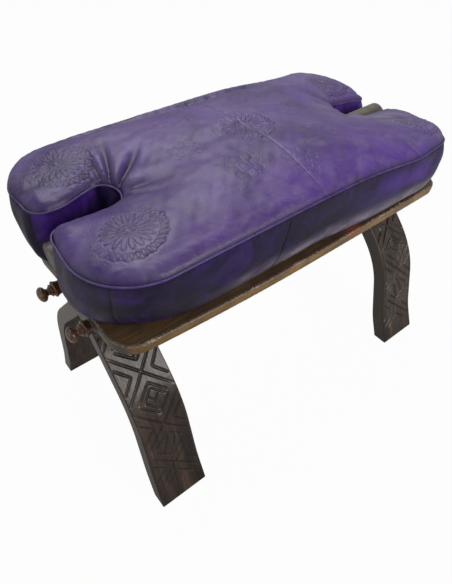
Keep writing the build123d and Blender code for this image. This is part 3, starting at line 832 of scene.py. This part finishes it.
def leather_material(name, dye, deep, worn, vivid, wear, vividness, gloss, shine, coat, bump=0.0003):
    """One leather of the cushion: its dye; its darkest tone, which is also the base of its painted shade; its
    worn tone, which is also its painted sheen; its brightest tone; and its polish.
    """
    material, tree, shader = new_material(name)
    place = put(tree, "ShaderNodeTexCoord").outputs["Object"]
    painted = {
        name: put(tree, "ShaderNodeAttribute", attribute_name=name.lower()).outputs["Fac"]
        for name in ("Hollow", "Rubbed", "Bright")}
    figure = figured(
        tree, leather_figure, place, Dye=dye, Deep=deep, Worn=worn, Vivid=vivid, Wear=wear,
        Vividness=vividness, Gloss=gloss, **painted)
    finish_surface(tree, shader, figure["Colour"], figure["Roughness"], figure["Height"], bump)
    shader.inputs["Specular IOR Level"].default_value = shine
    shader.inputs["Coat Weight"].default_value = coat
    shader.inputs["Coat Roughness"].default_value = 0.34
    return material


bottom_insets = (0.0370, 0.009, 0.011)
pole_low, pole_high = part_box("ridge_pole")
pole_radius = (pole_high.z - pole_low.z) / 2.0
pole_middle = (pole_high.z + pole_low.z) / 2.0
channel_reach = 0.0300
seat_gap = 0.0012


def board_top(y):
    """Height of the side boards' upper faces."""
    over_rail = rail_middle + (rail_radius + board_thickness) / cos(board_slope)
    return over_rail - (np.abs(y) - rail_reach) * sin(board_slope) / cos(board_slope)


def underside(y):
    """Height of what lies under the cushion: boards, and the tent over necks and pole in the middle."""
    y = np.abs(y)
    arch = pole_radius + seat_gap
    over_pole = pole_middle + np.sqrt(np.maximum(arch**2 - y**2, 0.0))
    foot = board_top(channel_reach)
    tent = foot + (pole_middle - foot) * (channel_reach - y) / (channel_reach - arch)
    inner = np.where(y < arch, over_pole, tent)
    return np.where(y < channel_reach, inner, board_top(y)) + seat_gap


def lifted(x, y):
    """How far the bottom of the far left lobe has drawn up off its board."""
    return 0.018 * spot(x, y, (-0.290, 0.055), 0.050) * (y > 0.0)


def foot_place(x, y, depth=0.0):
    """Where a place of the bottom's plan lies: its left end is round like an egg, and its right end
    stands further out. The depth is how far it lies inside the bottom's outline."""
    roundness, egg_x, egg_length, egg_width = 2.6, -0.118, 0.170, 0.1175
    from_middle = np.hypot(x - egg_x, y) + 1e-6
    out = (from_middle + depth) / from_middle
    over = (np.abs(np.minimum(x - egg_x, 0.0)) * out / egg_length) ** roundness
    over += (np.abs(y) * out / egg_width) ** roundness
    pulled = 1.0 - np.minimum(1.0, (over + 1e-9) ** (-1.0 / roundness))
    pulled *= (1.0 - smooth_step(depth, 0.0, 0.035)) * (x < egg_x)
    corner = spot(x, np.abs(y), (0.262, 0.108), 0.040)
    along = 0.007 * smooth_step(x, 0.19, 0.27) + 0.006 * corner
    aside = 0.0085 * smooth_step(x, 0.0, 0.14) * smooth_step(np.abs(y), 0.05, 0.11) + 0.001 * corner
    return x - (x - egg_x) * pulled + along, y * (1.0 - pulled) + np.sign(y) * aside


def plan_grid(step, insets=(0.0, 0.0, 0.0)):
    """A square grid over the cushion's plan, its outermost corners moved onto the outline: places,
    depths inside the outline, and the quads, which look up."""
    xs = np.arange(-half_length - 2.0 * step, half_length + 2.5 * step, step) + cushion_middle
    ys = np.arange(-half_width - 2.0 * step, half_width + 2.5 * step, step)
    x, y = np.meshgrid(xs, ys, indexing="ij")
    distance = inward(x, y, *insets)
    inside = distance > -0.55 * step
    whole = inside[:-1, :-1] & inside[1:, :-1] & inside[1:, 1:] & inside[:-1, 1:]
    small = 1e-5
    slope_x = (inward(x + small, y, *insets) - inward(x - small, y, *insets)) / (2.0 * small)
    slope_y = (inward(x, y + small, *insets) - inward(x, y - small, *insets)) / (2.0 * small)
    pull = np.where(distance < 0.5 * step, distance, 0.0)
    x, y = x - pull * slope_x, y - pull * slope_y
    number = np.arange(x.size).reshape(x.shape)
    quads = np.stack([number[:-1, :-1], number[1:, :-1], number[1:, 1:], number[:-1, 1:]], axis=-1)[whole]
    return x, y, np.where(distance < 0.5 * step, 0.0, distance), quads


# The small form that the simulation blows up: the size of its facets, how far it lies inside the
# leather round its plan and above and below, the air pressure, the last frame, and how far a point may go.
form_step = 0.006
form_insets = (0.012, 0.009, 0.009)
form_gap = 0.016
air_pressure = 4.0
last_frame = 20
most_blown = 0.009


def stuffing_form():
    """The small form to start from, closed, with upright sides inside the leather."""
    x, y, depth, quads = plan_grid(form_step, form_insets)
    used, faces = np.unique(quads, return_inverse=True)
    faces = faces.reshape(-1, 4)
    x, y, depth = x.ravel()[used], y.ravel()[used], depth.ravel()[used]
    x, y = settle_plan(x, y)
    top = np.column_stack([x, y, top_height(x, y, depth + 0.008) - form_gap])
    low_x, low_y = foot_place(x * 0.93, y * 0.74)
    low = np.column_stack([low_x, low_y, underside(low_y) + lifted(low_x, low_y) + form_gap])
    count = len(used)
    edges = {edge: None for face in faces.tolist() for edge in zip(face, face[1:] + face[:1])}
    walls = [[b, a, a + count, b + count] for a, b in edges if (b, a) not in edges]
    return np.vstack([top, low]), faces.tolist() + (faces[:, ::-1] + count).tolist() + walls


def blown_up(points, faces):
    """The form's points remeshed evenly, and how far a cloth simulation with air pressure moves each."""
    scene = bpy.context.scene
    mesh = bpy.data.meshes.new("form")
    mesh.from_pydata(points.tolist(), [], faces)
    form = bpy.data.objects.new("form", mesh)
    scene.collection.objects.link(form)
    remesh = form.modifiers.new("remesh", "REMESH")
    remesh.mode, remesh.voxel_size = "VOXEL", form_step
    even = bpy.data.meshes.new_from_object(form.evaluated_get(bpy.context.evaluated_depsgraph_get()))
    form.modifiers.clear()
    form.data = even
    start = np.empty(3 * len(even.vertices))
    even.vertices.foreach_get("co", start)
    start = start.reshape(-1, 3)
    moved = np.zeros_like(start)
    x, y, z = start.T
    at_seam = (inward(x, y) < 0.015) & (z > seam_level - sag(x) - 0.020)
    held = (z < underside(y) + 0.024) | at_seam
    form.vertex_groups.new(name="held").add(np.flatnonzero(held).tolist(), 1.0, "REPLACE")
    cloth = form.modifiers.new("cloth", "CLOTH")
    cloth.settings.vertex_group_mass = "held"
    cloth.settings.use_pressure = True
    cloth.settings.uniform_pressure_force = air_pressure
    cloth.settings.quality = 5
    cloth.settings.mass = 0.3
    cloth.settings.tension_stiffness = cloth.settings.compression_stiffness = 12.0
    cloth.settings.bending_stiffness = 0.3
    cloth.settings.effector_weights.gravity = 0.0
    cloth.collision_settings.use_collision = False
    cloth.point_cache.frame_end = last_frame
    for step in range(1, last_frame + 1):
        scene.frame_set(step)
    blown = form.evaluated_get(bpy.context.evaluated_depsgraph_get()).to_mesh()
    end = np.empty(3 * len(blown.vertices))
    blown.vertices.foreach_get("co", end)
    moved = end.reshape(-1, 3) - start
    far = np.linalg.norm(moved, axis=1)
    moved *= (most_blown * np.tanh(far / most_blown) / (far + 1e-9))[:, None]
    scene.frame_set(1)
    quads = [list(polygon.vertices) for polygon in even.polygons]
    bpy.data.objects.remove(form)
    return start, moved, quads


swell_cell = 0.006
swell_corner = np.array([-0.33, -0.19])
swell_size = (112, 64)


def swell_field(start, moved):
    """How far the stuffing pushes the top leather up, on a grid over the plan."""
    upper = start[:, 2] > seam_level - sag(start[:, 0]) - 0.014
    place = np.floor((start[upper, :2] - swell_corner) / swell_cell).astype(int)
    total, number = np.zeros(swell_size), np.zeros(swell_size)
    np.add.at(total, tuple(place.T), moved[upper, 2])
    np.add.at(number, tuple(place.T), 1.0)
    for _ in range(2):
        total, number = (
            field + sum(np.roll(field, shift, axis) for shift in (-1, 1) for axis in (0, 1)) * 0.5
            for field in (total, number))
    return total / np.maximum(number, 1e-6)


def swell(x, y):
    """The push of the stuffing at places of the plan."""
    across, up = (x - swell_corner[0]) / swell_cell - 0.5, (y - swell_corner[1]) / swell_cell - 0.5
    i = np.clip(np.floor(across).astype(int), 0, swell_size[0] - 2)
    j = np.clip(np.floor(up).astype(int), 0, swell_size[1] - 2)
    s, t = across - i, up - j
    low = swollen[i, j] * (1.0 - s) + swollen[i + 1, j] * s
    high = swollen[i, j + 1] * (1.0 - s) + swollen[i + 1, j + 1] * s
    return low * (1.0 - t) + high * t


stuffing_start, stuffing_moved, stuffing_quads = blown_up(*stuffing_form())
swollen = swell_field(stuffing_start, stuffing_moved)
stuffing_wool = leather_material(
    "stuffing_wool", dye=(0.55, 0.5, 0.4), deep=(0.4, 0.36, 0.3), worn=(0.6, 0.56, 0.5),
    vivid=(0.6, 0.52, 0.4), wear=0.5, vividness=0.2, gloss=0.8, shine=0.3, coat=0.0)
stuffing_mesh = new_mesh("stuffing", stuffing_start + stuffing_moved, stuffing_quads, stuffing_wool)
add_piece("stuffing", stuffing_mesh, "cushion", "stuffing", "cushion_filling")


# Top panels: two halves of the top leather that meet in a seam across the middle, crowned over the
# stuffing, drawn into folds at the notches and pressed with rosettes and medallions.
top_step = 0.0010


def folds(x, y):
    """Drawn-in folds of the top leather, as heights: they run out from the inner ends of the notches."""
    strokes = [
        # start, end, half width, height; below 0 is a valley
        ((-0.2000, 0.022), (-0.190, 0.074), 0.0031, -0.0062),
        ((-0.1940, 0.016), (-0.158, 0.088), 0.0031, -0.0064),
        ((-0.1900, 0.006), (-0.128, 0.046), 0.0033, -0.0060),
        ((-0.1890, -0.004), (-0.138, -0.038), 0.0048, -0.0046),
        ((-0.1950, -0.014), (-0.150, -0.058), 0.0050, -0.0040),
        ((-0.2080, 0.026), (-0.212, 0.064), 0.0030, -0.0026),
        ((-0.1980, 0.020), (-0.175, 0.082), 0.0036, 0.0034),
        ((-0.1920, 0.012), (-0.144, 0.066), 0.0038, 0.0032),
        ((-0.1900, 0.000), (-0.126, 0.012), 0.0052, 0.0026),
        ((-0.1910, -0.009), (-0.142, -0.049), 0.0042, 0.0022),
        ((-0.2040, 0.024), (-0.202, 0.068), 0.0034, 0.0026),
        ((-0.2020, -0.020), (-0.170, -0.064), 0.0050, 0.0018),
        ((0.1930, 0.014), (0.160, 0.072), 0.0040, -0.0036),
        ((0.1880, 0.006), (0.140, 0.040), 0.0042, -0.0036),
        ((0.1860, -0.002), (0.124, 0.002), 0.0052, -0.0030),
        ((0.1880, -0.010), (0.136, -0.036), 0.0052, -0.0028),
        ((0.1950, 0.018), (0.176, 0.078), 0.0042, 0.0028),
        ((0.1900, 0.010), (0.148, 0.058), 0.0042, 0.0026),
        ((0.1870, 0.002), (0.130, 0.022), 0.0052, 0.0024),
        ((0.1900, -0.014), (0.150, -0.060), 0.0060, 0.0020),
        ((-0.288, -0.108), (-0.262, -0.100), 0.0030, 0.0012),
        ((-0.283, -0.118), (-0.258, -0.108), 0.0030, -0.0012),
        ((-0.252, -0.146), (-0.240, -0.122), 0.0028, 0.0010),
        ((-0.244, -0.149), (-0.232, -0.124), 0.0028, -0.0010),
        ((-0.286, 0.060), (-0.250, 0.055), 0.0040, -0.0012),
        ((0.262, -0.116), (0.272, -0.076), 0.0026, 0.0016),
        ((0.236, -0.134), (0.252, -0.104), 0.0028, 0.0016),
    ]
    height = np.zeros_like(x)
    for start, end, half, rise in strokes:
        run = np.subtract(end, start)
        length = hypot(*run)
        share = ((x - start[0]) * run[0] + (y - start[1]) * run[1]) / length**2
        aside = ((x - start[0]) * run[1] - (y - start[1]) * run[0]) / length
        aside = aside - 0.10 * length * np.clip(share, 0.0, 1.0) ** 2 * np.sign(rise)
        wide = half * (1.0 + 1.3 * np.clip(share, 0.0, 1.0)) * (1.9 if rise > 0.0 else 1.15)
        fade = smooth_step(share, -0.30, 0.02) * (1.0 - smooth_step(share, 0.30, 1.15))
        height += rise * fade * bell(aside, wide)
    return height


def pressed_line(distance, width=0.0009):
    """A line pressed into leather, from 0 to -1, at distances from its middle."""
    return -bell(distance, width)


def rosette(x, y, centre, size):
    """Pressed flower, from -1 to 1: long thin petals from its middle, and a border of small leaves that
    is worn away on its far side."""
    along, aside = x - centre[0], y - centre[1]
    radius = np.hypot(along, aside)
    distance = radius / size
    turn = np.arctan2(aside, along)
    half_turn = (turn * rosette_petals / (2.0 * pi)) % 1.0 - 0.5
    across = np.abs(half_turn) * 2.0 * pi / rosette_petals * radius
    swell = np.clip((distance - 0.07) / 0.65, 0.0, 1.0)
    petal_half = size * 0.066 * np.sin(pi * swell**1.7) ** 0.8
    inner = (distance > 0.07) & (distance < 0.72)
    height = np.where(inner, pressed_line(across - petal_half) * (swell > 0.02), 0.0)
    height += np.where(inner & (across < petal_half * 0.8), 0.30, 0.0)
    height += 0.9 * pressed_line(across, 0.0007) * inner * (distance > 0.22) * (distance < 0.60)
    # The border: a leaf over each petal and one between, with a dot at each tip
    leaf_turn = (turn * rosette_petals / pi) % 1.0 - 0.5
    leaf_across = np.abs(leaf_turn) * pi / rosette_petals * radius
    leaf_swell = np.clip((distance - 0.76) / 0.20, 0.0, 1.0)
    leaf_half = size * 0.052 * np.sin(pi * leaf_swell) ** 0.7
    border = (distance > 0.76) & (distance < 0.96)
    edge = np.where(border, pressed_line(leaf_across - leaf_half, 0.0008), 0.0)
    scallop = 1.0 - 0.05 * np.abs(np.sin(turn * rosette_petals / 2.0))
    edge += 0.8 * pressed_line((distance - scallop) * size)
    kept = 0.25 + 0.75 * smooth_step(along / size * 0.6 - aside / size * 0.8, -0.3, 0.7)
    return (height + edge * kept) * (distance < 1.08)


def medallion(x, y, centre, turn_of, size):
    """A small pressed lozenge with scrolls round it, from -1 to 1."""
    along = (x - centre[0]) * cos(turn_of) + (y - centre[1]) * sin(turn_of)
    aside = -(x - centre[0]) * sin(turn_of) + (y - centre[1]) * cos(turn_of)
    lozenge = np.abs(along) / 1.35 + np.abs(aside)
    height = pressed_line(lozenge - size * 0.52, 0.0007) + 0.8 * pressed_line(lozenge - size * 0.26, 0.0007)
    radius, turn = np.hypot(along / 1.2, aside), np.arctan2(aside, along)
    scroll = size * (0.86 + 0.10 * np.cos(turn * 8.0))
    height += 0.9 * pressed_line(radius - scroll, 0.0007)
    height += 0.6 * pressed_line(radius - scroll * 0.84, 0.0006) * (lozenge > size * 0.60)
    spokes = np.abs(((turn * 4.0 / pi) % 1.0) - 0.5) * radius * pi / 4.0
    height += 0.8 * pressed_line(spokes, 0.0008) * (lozenge > size * 0.58) * (radius < size * 0.80)
    return height * (radius < size * 1.15)


rosette_size = 0.043
rosette_petals = 18
rosette_places = [(-0.004, 0.003), (-0.228, -0.087), (-0.230, 0.078), (0.232, -0.086), (0.228, 0.084)]
medallion_size = 0.023
medallion_ring = 0.092
press_depth = 0.0009


def pressed(x, y):
    """All the pressed ornament of the top, from about -1 to 1."""
    height = np.zeros_like(x)
    for centre in rosette_places:
        height += rosette(x, y, centre, rosette_size)
    middle_x, middle_y = rosette_places[0]
    for step in range(8):
        turn = step * pi / 4.0 + 0.05
        centre = (middle_x + medallion_ring * cos(turn), middle_y + medallion_ring * 1.12 * sin(turn))
        height += 0.5 * medallion(x, y, centre, turn, medallion_size)
    return height


def ripple(x, y, size, seed):
    """Gentle unevenness of a surface, from -1 to 1, with waves of about one size."""
    rng = np.random.default_rng(seed)
    height = np.zeros(np.broadcast(x, y).shape)
    for _ in range(9):
        heading, phase = rng.uniform(0.0, pi), rng.uniform(0.0, 2.0 * pi)
        wave = 2.0 * pi / (size * rng.uniform(0.7, 1.6))
        height += np.sin((x * cos(heading) + y * sin(heading)) * wave + phase)
    return height / 5.0


def add_leather(name, node, points, quads, material, slot, **fields):
    """A padded piece of leather from some quads of a grid of points, its fields painted on it."""
    used, faces = np.unique(quads, return_inverse=True)
    mesh = new_mesh(name, points[used], faces.reshape(-1, 4), material)
    for field, values in fields.items():
        paint(mesh, field, np.clip(np.broadcast_to(values, fields["hollow"].shape).ravel()[used], 0.0, 1.0))
    add_piece(name, mesh, "cushion", slot, node)


def top_seam_x(y):
    """Where the seam between the two top panels runs: it wanders off towards the near side."""
    return cushion_middle + 0.001 - 0.10 * np.clip(-0.05 - y, 0.0, 0.2)


# Painted highlights and sheen on the top: (place), how far round it, how much
rubbed_spots = [
    ((-0.230, -0.122), 0.022, 0.90),
    ((-0.195, -0.110), 0.020, 0.35),
    ((0.020, 0.020), 0.110, 0.22),
    ((0.165, -0.010), 0.045, 0.50),
    ((0.215, -0.055), 0.035, 0.40),
    ((0.245, -0.085), 0.045, 0.75),
    ((0.225, 0.100), 0.050, 0.55),
]


def add_top_panels():
    """Both halves of the top, cut from one sheet of small square facets."""
    x, y, distance, quads = plan_grid(top_step)
    distance = np.where(distance > 0.0, np.minimum(distance, inward(x, y, lopsided=True)), 0.0)
    x, y = settle_plan(x, y)
    steady = smooth_step(distance, 0.0, 0.010)
    fold = folds(x, y)
    press = pressed(x, y)
    from_seam = np.abs(x - top_seam_x(y))
    z = top_height(x, y, distance) + fold * smooth_step(distance, 0.0, 0.005)
    z += steady * (press * press_depth + 0.0007 * ripple(x, y, 0.055, 5) + 0.00030 * ripple(x, y, 0.016, 6))
    pushed = swell(x, y)
    usual = pushed[distance > 0.030].mean()
    evened = pushed - usual * np.clip(crown(distance) / crown_height, 0.0, 1.0)
    z += smooth_step(distance, 0.004, 0.020) * evened
    z -= 0.0009 * bell(from_seam, 0.0017) * steady
    pucker = np.sin(ripple(x, y, 0.03, 8) * 4.0 + (x + y) * 420.0)
    z += 0.0005 * pucker * bell(distance, 0.010) * steady
    # Painted shade: darker in the fold valleys and pressed lines, along the rim and the middle seam, and over
    # the left half.
    hollow = 0.90 * np.clip(-fold / 0.0042, 0.0, 1.0) + 0.60 * np.clip(-press, 0.0, 1.0)
    hollow += 0.85 * np.exp(-distance / 0.0020) + 0.28 * bell(from_seam, 0.0013)
    hollow = np.clip(hollow + 0.24 * smooth_step(-x, 0.02, 0.22), 0.0, 0.95)
    # Painted highlights and sheen: on the fold ridges and round the spots listed above.
    rubbed = 0.25 * np.clip(fold / 0.004, 0.0, 1.0)
    for place, size, share in rubbed_spots:
        rubbed += share * spot(x, y, place, size)
    # Painted light: more vivid purple on the near side, right of the middle, and on the near left lobe.
    bright = 0.75 * smooth_step(-y, 0.075, 0.13) * smooth_step(x, -0.12, 0.0)
    bright += 0.5 * spot(x, y, (-0.25, -0.07), 0.05)
    points = np.column_stack([x.ravel(), y.ravel(), z.ravel()])
    middle_x = points[quads][:, :, 0].mean(axis=1)
    middle_y = points[quads][:, :, 1].mean(axis=1)
    right = middle_x > top_seam_x(middle_y)
    for end_name, chosen in (("left", ~right), ("right", right)):
        add_leather(
            f"leather_top_{end_name}", f"top_panel_{end_name}", points, quads[chosen], top_leather,
            "top_leather", hollow=hollow, rubbed=rubbed, bright=bright)


# The worn tone also serves as the top's painted highlights and sheen, and the deep tone as the base of its
# painted shade.
top_leather = leather_material(
    "purple_top_leather", dye=(0.088, 0.043, 0.190), deep=(0.040, 0.018, 0.100), worn=(0.210, 0.180, 0.280),
    vivid=(0.085, 0.026, 0.255), wear=0.30, vividness=0.45, gloss=0.38, shine=0.40, coat=0.08)
add_top_panels()


# Side band: a strip of darker leather from the top seam down to the bottom seam. It bulges a little,
# tucks in under the sides, and arches over the pole at the inner end of each notch.
def seam_line(insets):
    """Points round the cushion's outline with some insets, the same number for all insets."""
    side_inset, end_inset, notch_inset = insets
    length, width = half_length - end_inset, half_width - side_inset
    corner, notch = corner_radius - end_inset, notch_radius + notch_inset
    lip = max(lip_radius - end_inset, 0.004)
    notch_middle = half_length - notch_depth + notch_radius

    def arc(middle, radius, start, stop, count):
        return [(middle[0] + radius * cos(radians(a)), middle[1] + radius * sin(radians(a)))
                for a in np.linspace(start, stop, count, endpoint=False)]

    def line(start, stop, count):
        shares = np.linspace(0, 1, count, endpoint=False)
        return [tuple(np.add(start, np.subtract(stop, start) * share)) for share in shares]

    counts = (106, 60, 20, 12, 32, 17)
    quarter = line((0.0, width), (length - corner, width), counts[0])
    quarter += arc((length - corner, width - corner), corner, 90, 0, counts[1])
    quarter += line((length, width - corner), (length, notch + lip), counts[2])
    quarter += arc((length - lip, notch + lip), lip, 0, -90, counts[3])
    quarter += line((length - lip, notch), (notch_middle, notch), counts[4])
    quarter += arc((notch_middle, 0.0), notch, 90, 180, counts[5])
    upper = quarter + [(notch_middle - notch, 0.0)]
    right = upper + [(x, -y) for x, y in reversed(upper[1:-1])]
    loop = right + [(0.0, -width)] + [(-x, y) for x, y in reversed(right[1:])]
    return np.array(loop) + (cushion_middle, 0.0)


def foot_line():
    """The bottom seam's line."""
    return np.column_stack(foot_place(*seam_line(bottom_insets).T))


def foot_level(loop):
    """Heights of the bottom of the cushion under the points of a line."""
    return underside(loop[:, 1]) + lifted(*loop.T)


left_seam, right_seam, side_seam = -0.2745, 0.257, -0.064
flank_reach = 0.088
band_rows = 58
band_height = 0.11


def band_strips(x, y):
    """Which columns of the band belong to each of its six strips, by the strip's name."""
    at_end = (x < left_seam) | (x > right_seam) | (np.abs(y) < flank_reach)
    strips = {}
    for side_name, side in sides.items():
        flank = ~at_end & (y * side > 0)
        strips[f"band_{side_name}_left"] = flank & (x < side_seam)
        strips[f"band_{side_name}_right"] = flank & (x >= side_seam)
    strips["band_left_end"] = at_end & (x < 0)
    strips["band_right_end"] = at_end & (x > 0)
    return strips


def add_side_band():
    """The band in rows from the top seam down, one object for each of its six strips."""
    top_loop = seam_line((0.0, 0.0, 0.0))
    foot_loop = foot_line()
    column_x, column_y = top_loop.T
    share = np.linspace(0.0, 1.0, band_rows)[:, None]
    x = column_x * (1.0 - share) + foot_loop[:, 0] * share
    y = column_y * (1.0 - share) + foot_loop[:, 1] * share
    z = (seam_level - sag(column_x)) * (1.0 - share) + (foot_level(foot_loop) + 0.0022) * share
    out = outward(top_loop)
    runs = np.hypot(*(np.roll(top_loop, -1, axis=0) - top_loop).T)
    along = np.concatenate([[0.0], np.cumsum(runs)[:-1]])
    at_notch = np.abs(column_x) > 0.15
    in_notch = (np.abs(column_y) < notch_radius + 0.002) & at_notch
    inmost = bell(np.abs(column_x - cushion_middle) - 0.196, 0.020) * in_notch
    in_mouth = (1.0 - smooth_step(np.abs(column_y), 0.0225, 0.042)) * at_notch
    # How far the band bulges: most at the ends, least in the notches, and high up on the far left lobe
    near, far_left = column_y < 0.0, (column_y > 0.0) * (column_x < 0.0)
    belly = 0.0105 + 0.0025 * out[:, 0] ** 2 * near + 0.0010 * smooth_step(column_x, 0.15, 0.28)
    belly = belly + 0.0050 * np.maximum(-out[:, 0], 0.0) ** 2 * far_left * (1.0 - share) ** 1.5
    belly = 0.0028 * in_mouth + belly * (1.0 - in_mouth)
    bulge = belly * np.sin(pi * share**1.6) ** 0.5 - 0.0012 * bell(share, 0.02)
    # Slow waves, puckers drawn in by both seams, folds at the inner end of a notch, and the joints
    waves = 0.0009 * ripple(along + share * 0.02, share * band_height, 0.05, 11)
    pucker = 0.0007 * np.sin(along * 520.0 + 3.0 * ripple(along, share * 0.0, 0.08, 12))
    pucker = pucker * (bell((share - 1.0) * band_height, 0.010) + 0.6 * bell(share * band_height, 0.008))
    wall = inmost * 0.0015 * np.sin(along * 380.0 + 2.0 * ripple(along, share * 0.05, 0.04, 13))
    joint = sum(bell(column_x - seam, 0.0011) for seam in (left_seam, right_seam, side_seam))
    joint = joint * (np.abs(column_y) > flank_reach)
    push = bulge + (waves + pucker + wall - 0.0010 * joint) * np.sin(pi * share) ** 0.5
    x, y = settle_plan(x + out[:, 0] * push, y + out[:, 1] * push, (1.0 - share) ** 1.5)
    # Painted shade: darker in the valleys of the waves and puckers, in the folds of the notch walls, along
    # the joints and just under the top seam.
    hollow = 0.8 * np.clip(-(waves + pucker) / 0.0020, 0.0, 1.0) * (1.0 - in_notch)
    hollow = hollow + 0.7 * np.clip(-wall / 0.0012, 0.0, 1.0) + 0.8 * joint + 0.9 * np.exp(-share / 0.03)
    # Painted reflection of the white floor: a paler tone in streaks low down on the near side, except at the
    # left end.
    streaks = 0.85 + 0.40 * ripple(along, share * band_height, 0.05, 31)
    low_down = smooth_step(share, 0.50, 0.78) * (1.0 - smooth_step(share, 0.94, 1.0))
    rubbed = low_down * smooth_step(x, -0.22, -0.02) * (y < 0.0) * streaks
    # Painted light: more vivid purple high on the near side, right of the middle, and on the far wall of each
    # notch's mouth.
    bright = 0.9 * bell(share - 0.30, 0.22) * smooth_step(x, 0.0, 0.16) * (y < 0.0)
    bright = bright + 1.3 * (in_mouth > 0.5) * (1.0 - share) * (y > 0.0) * (1.0 - 0.6 * inmost)
    points = np.dstack([x, y, z]).reshape(-1, 3)
    number = np.arange(x.size).reshape(x.shape)
    after = np.roll(number, -1, axis=1)
    quads = np.stack([number[:-1], number[1:], after[1:], after[:-1]], axis=-1)
    for node, chosen in band_strips(column_x, column_y).items():
        add_leather(
            f"leather_{node}", node, points, quads[:, chosen], band_leather, "band_leather",
            hollow=np.clip(hollow, 0.0, 1.0), rubbed=rubbed, bright=bright)


# The worn tone serves mostly as the band's painted reflection of the floor, and the deep tone also as the
# base of its painted shade.
band_leather = leather_material(
    "indigo_band_leather", dye=(0.014, 0.007, 0.046), deep=(0.005, 0.003, 0.012), worn=(0.270, 0.235, 0.300),
    vivid=(0.075, 0.020, 0.270), wear=0.05, vividness=0.35, gloss=0.38, shine=0.17, coat=0.04)
add_side_band()


# Piping: a thin roll of brighter leather sewn into the top seam and into the bottom seam. The
# bottom one stops where the cushion arches over the pole.
top_welt_radius = 0.0013
bottom_welt_radius = 0.0016


def welt_tree():
    """Geometry nodes that roll a round welt along the lines of a mesh."""
    tree = bpy.data.node_groups.new("welt", "GeometryNodeTree")
    for name, kind in (("Line", "Geometry"), ("Radius", "Float"), ("Sides", "Int"), ("Leather", "Material")):
        tree.interface.new_socket(name, in_out="INPUT", socket_type=f"NodeSocket{kind}")
    tree.interface.new_socket("Welt", in_out="OUTPUT", socket_type="NodeSocketGeometry")
    given = tree.nodes.new("NodeGroupInput")
    line = put(tree, "GeometryNodeMeshToCurve", {"Mesh": given.outputs["Line"]})
    section = put(tree, "GeometryNodeCurvePrimitiveCircle", {
        "Resolution": given.outputs["Sides"], "Radius": given.outputs["Radius"]})
    rolled = put(tree, "GeometryNodeCurveToMesh", {
        "Curve": line.outputs[0], "Profile Curve": section.outputs[0], "Fill Caps": True})
    smooth = put(tree, "GeometryNodeSetShadeSmooth", {0: rolled.outputs[0]})
    plain = put(tree, "GeometryNodeRealizeInstances", {0: smooth.outputs[0]})
    dressed = put(tree, "GeometryNodeSetMaterial", {
        "Geometry": plain.outputs[0], "Material": given.outputs["Leather"]})
    out = tree.nodes.new("NodeGroupOutput")
    tree.links.new(dressed.outputs[0], out.inputs[0])
    return tree


def grown(tree, source, **sizes):
    """The plain mesh that a tree makes from a mesh, with some of the tree's inputs given by name."""
    maker = bpy.data.objects.new(tree.name, source)
    bpy.context.scene.collection.objects.link(maker)
    modifier = maker.modifiers.new("nodes", "NODES")
    modifier.node_group = tree
    for socket in tree.interface.items_tree:
        if socket.in_out == "INPUT" and socket.name in sizes:
            modifier[socket.identifier] = sizes[socket.name]
    mesh = bpy.data.meshes.new_from_object(maker.evaluated_get(bpy.context.evaluated_depsgraph_get()))
    bpy.data.objects.remove(maker)
    return mesh


def add_piping(name, node, loop, heights, radius, sewn=True):
    """A round welt along a closed line, where it is sewn in."""
    middle = np.column_stack([loop + outward(loop) * radius * 0.35, heights])
    steps = np.column_stack([np.arange(len(loop)), np.roll(np.arange(len(loop)), -1)])
    line = bpy.data.meshes.new("seam_line")
    line.from_pydata(middle.tolist(), steps[np.broadcast_to(sewn, len(loop))].tolist(), [])
    mesh = grown(welt, line, Radius=radius, Sides=12, Leather=piping_leather)
    turn_outwards(mesh)
    add_piece(name, mesh, "cushion", "piping_leather", node)


welt = welt_tree()
piping_leather = leather_material(
    "violet_piping_leather", dye=(0.060, 0.024, 0.175), deep=(0.026, 0.010, 0.085),
    worn=(0.150, 0.110, 0.230), vivid=(0.080, 0.026, 0.240), wear=0.4, vividness=0.3, gloss=0.36, shine=0.4,
    coat=0.10)
top_line = np.column_stack(settle_plan(*seam_line((0.0, 0.0, 0.0)).T))
add_piping("top_welt", "top_piping", top_line, seam_level - sag(top_line[:, 0]) - 0.0004, top_welt_radius)
bottom_line = foot_line()
under_arch = (np.abs(bottom_line[:, 1]) < channel_reach) & (np.abs(bottom_line[:, 0]) > 0.15)
add_piping(
    "bottom_welt", "bottom_piping", bottom_line, foot_level(bottom_line) + 0.0018, bottom_welt_radius,
    sewn=~under_arch)


# Underside: the bottom panel, one piece of the band's dark leather. It lies on the boards, rises over the
# pole in the middle, and is sewn to the band round its edge.
def add_bottom_panel():
    """The bottom panel, its edge turned up a little into the bottom seam."""
    x, y, depth, quads = plan_grid(0.003, bottom_insets)
    x, y = foot_place(x, y, depth)
    z = underside(y) + lifted(x, y) + 0.0022 * (1.0 - smooth_step(depth, 0.0, 0.008))
    points = np.column_stack([x.ravel(), y.ravel(), z.ravel()])
    add_leather(
        "leather_bottom", "bottom_panel", points, quads[:, ::-1], band_leather, "band_leather")


add_bottom_panel()
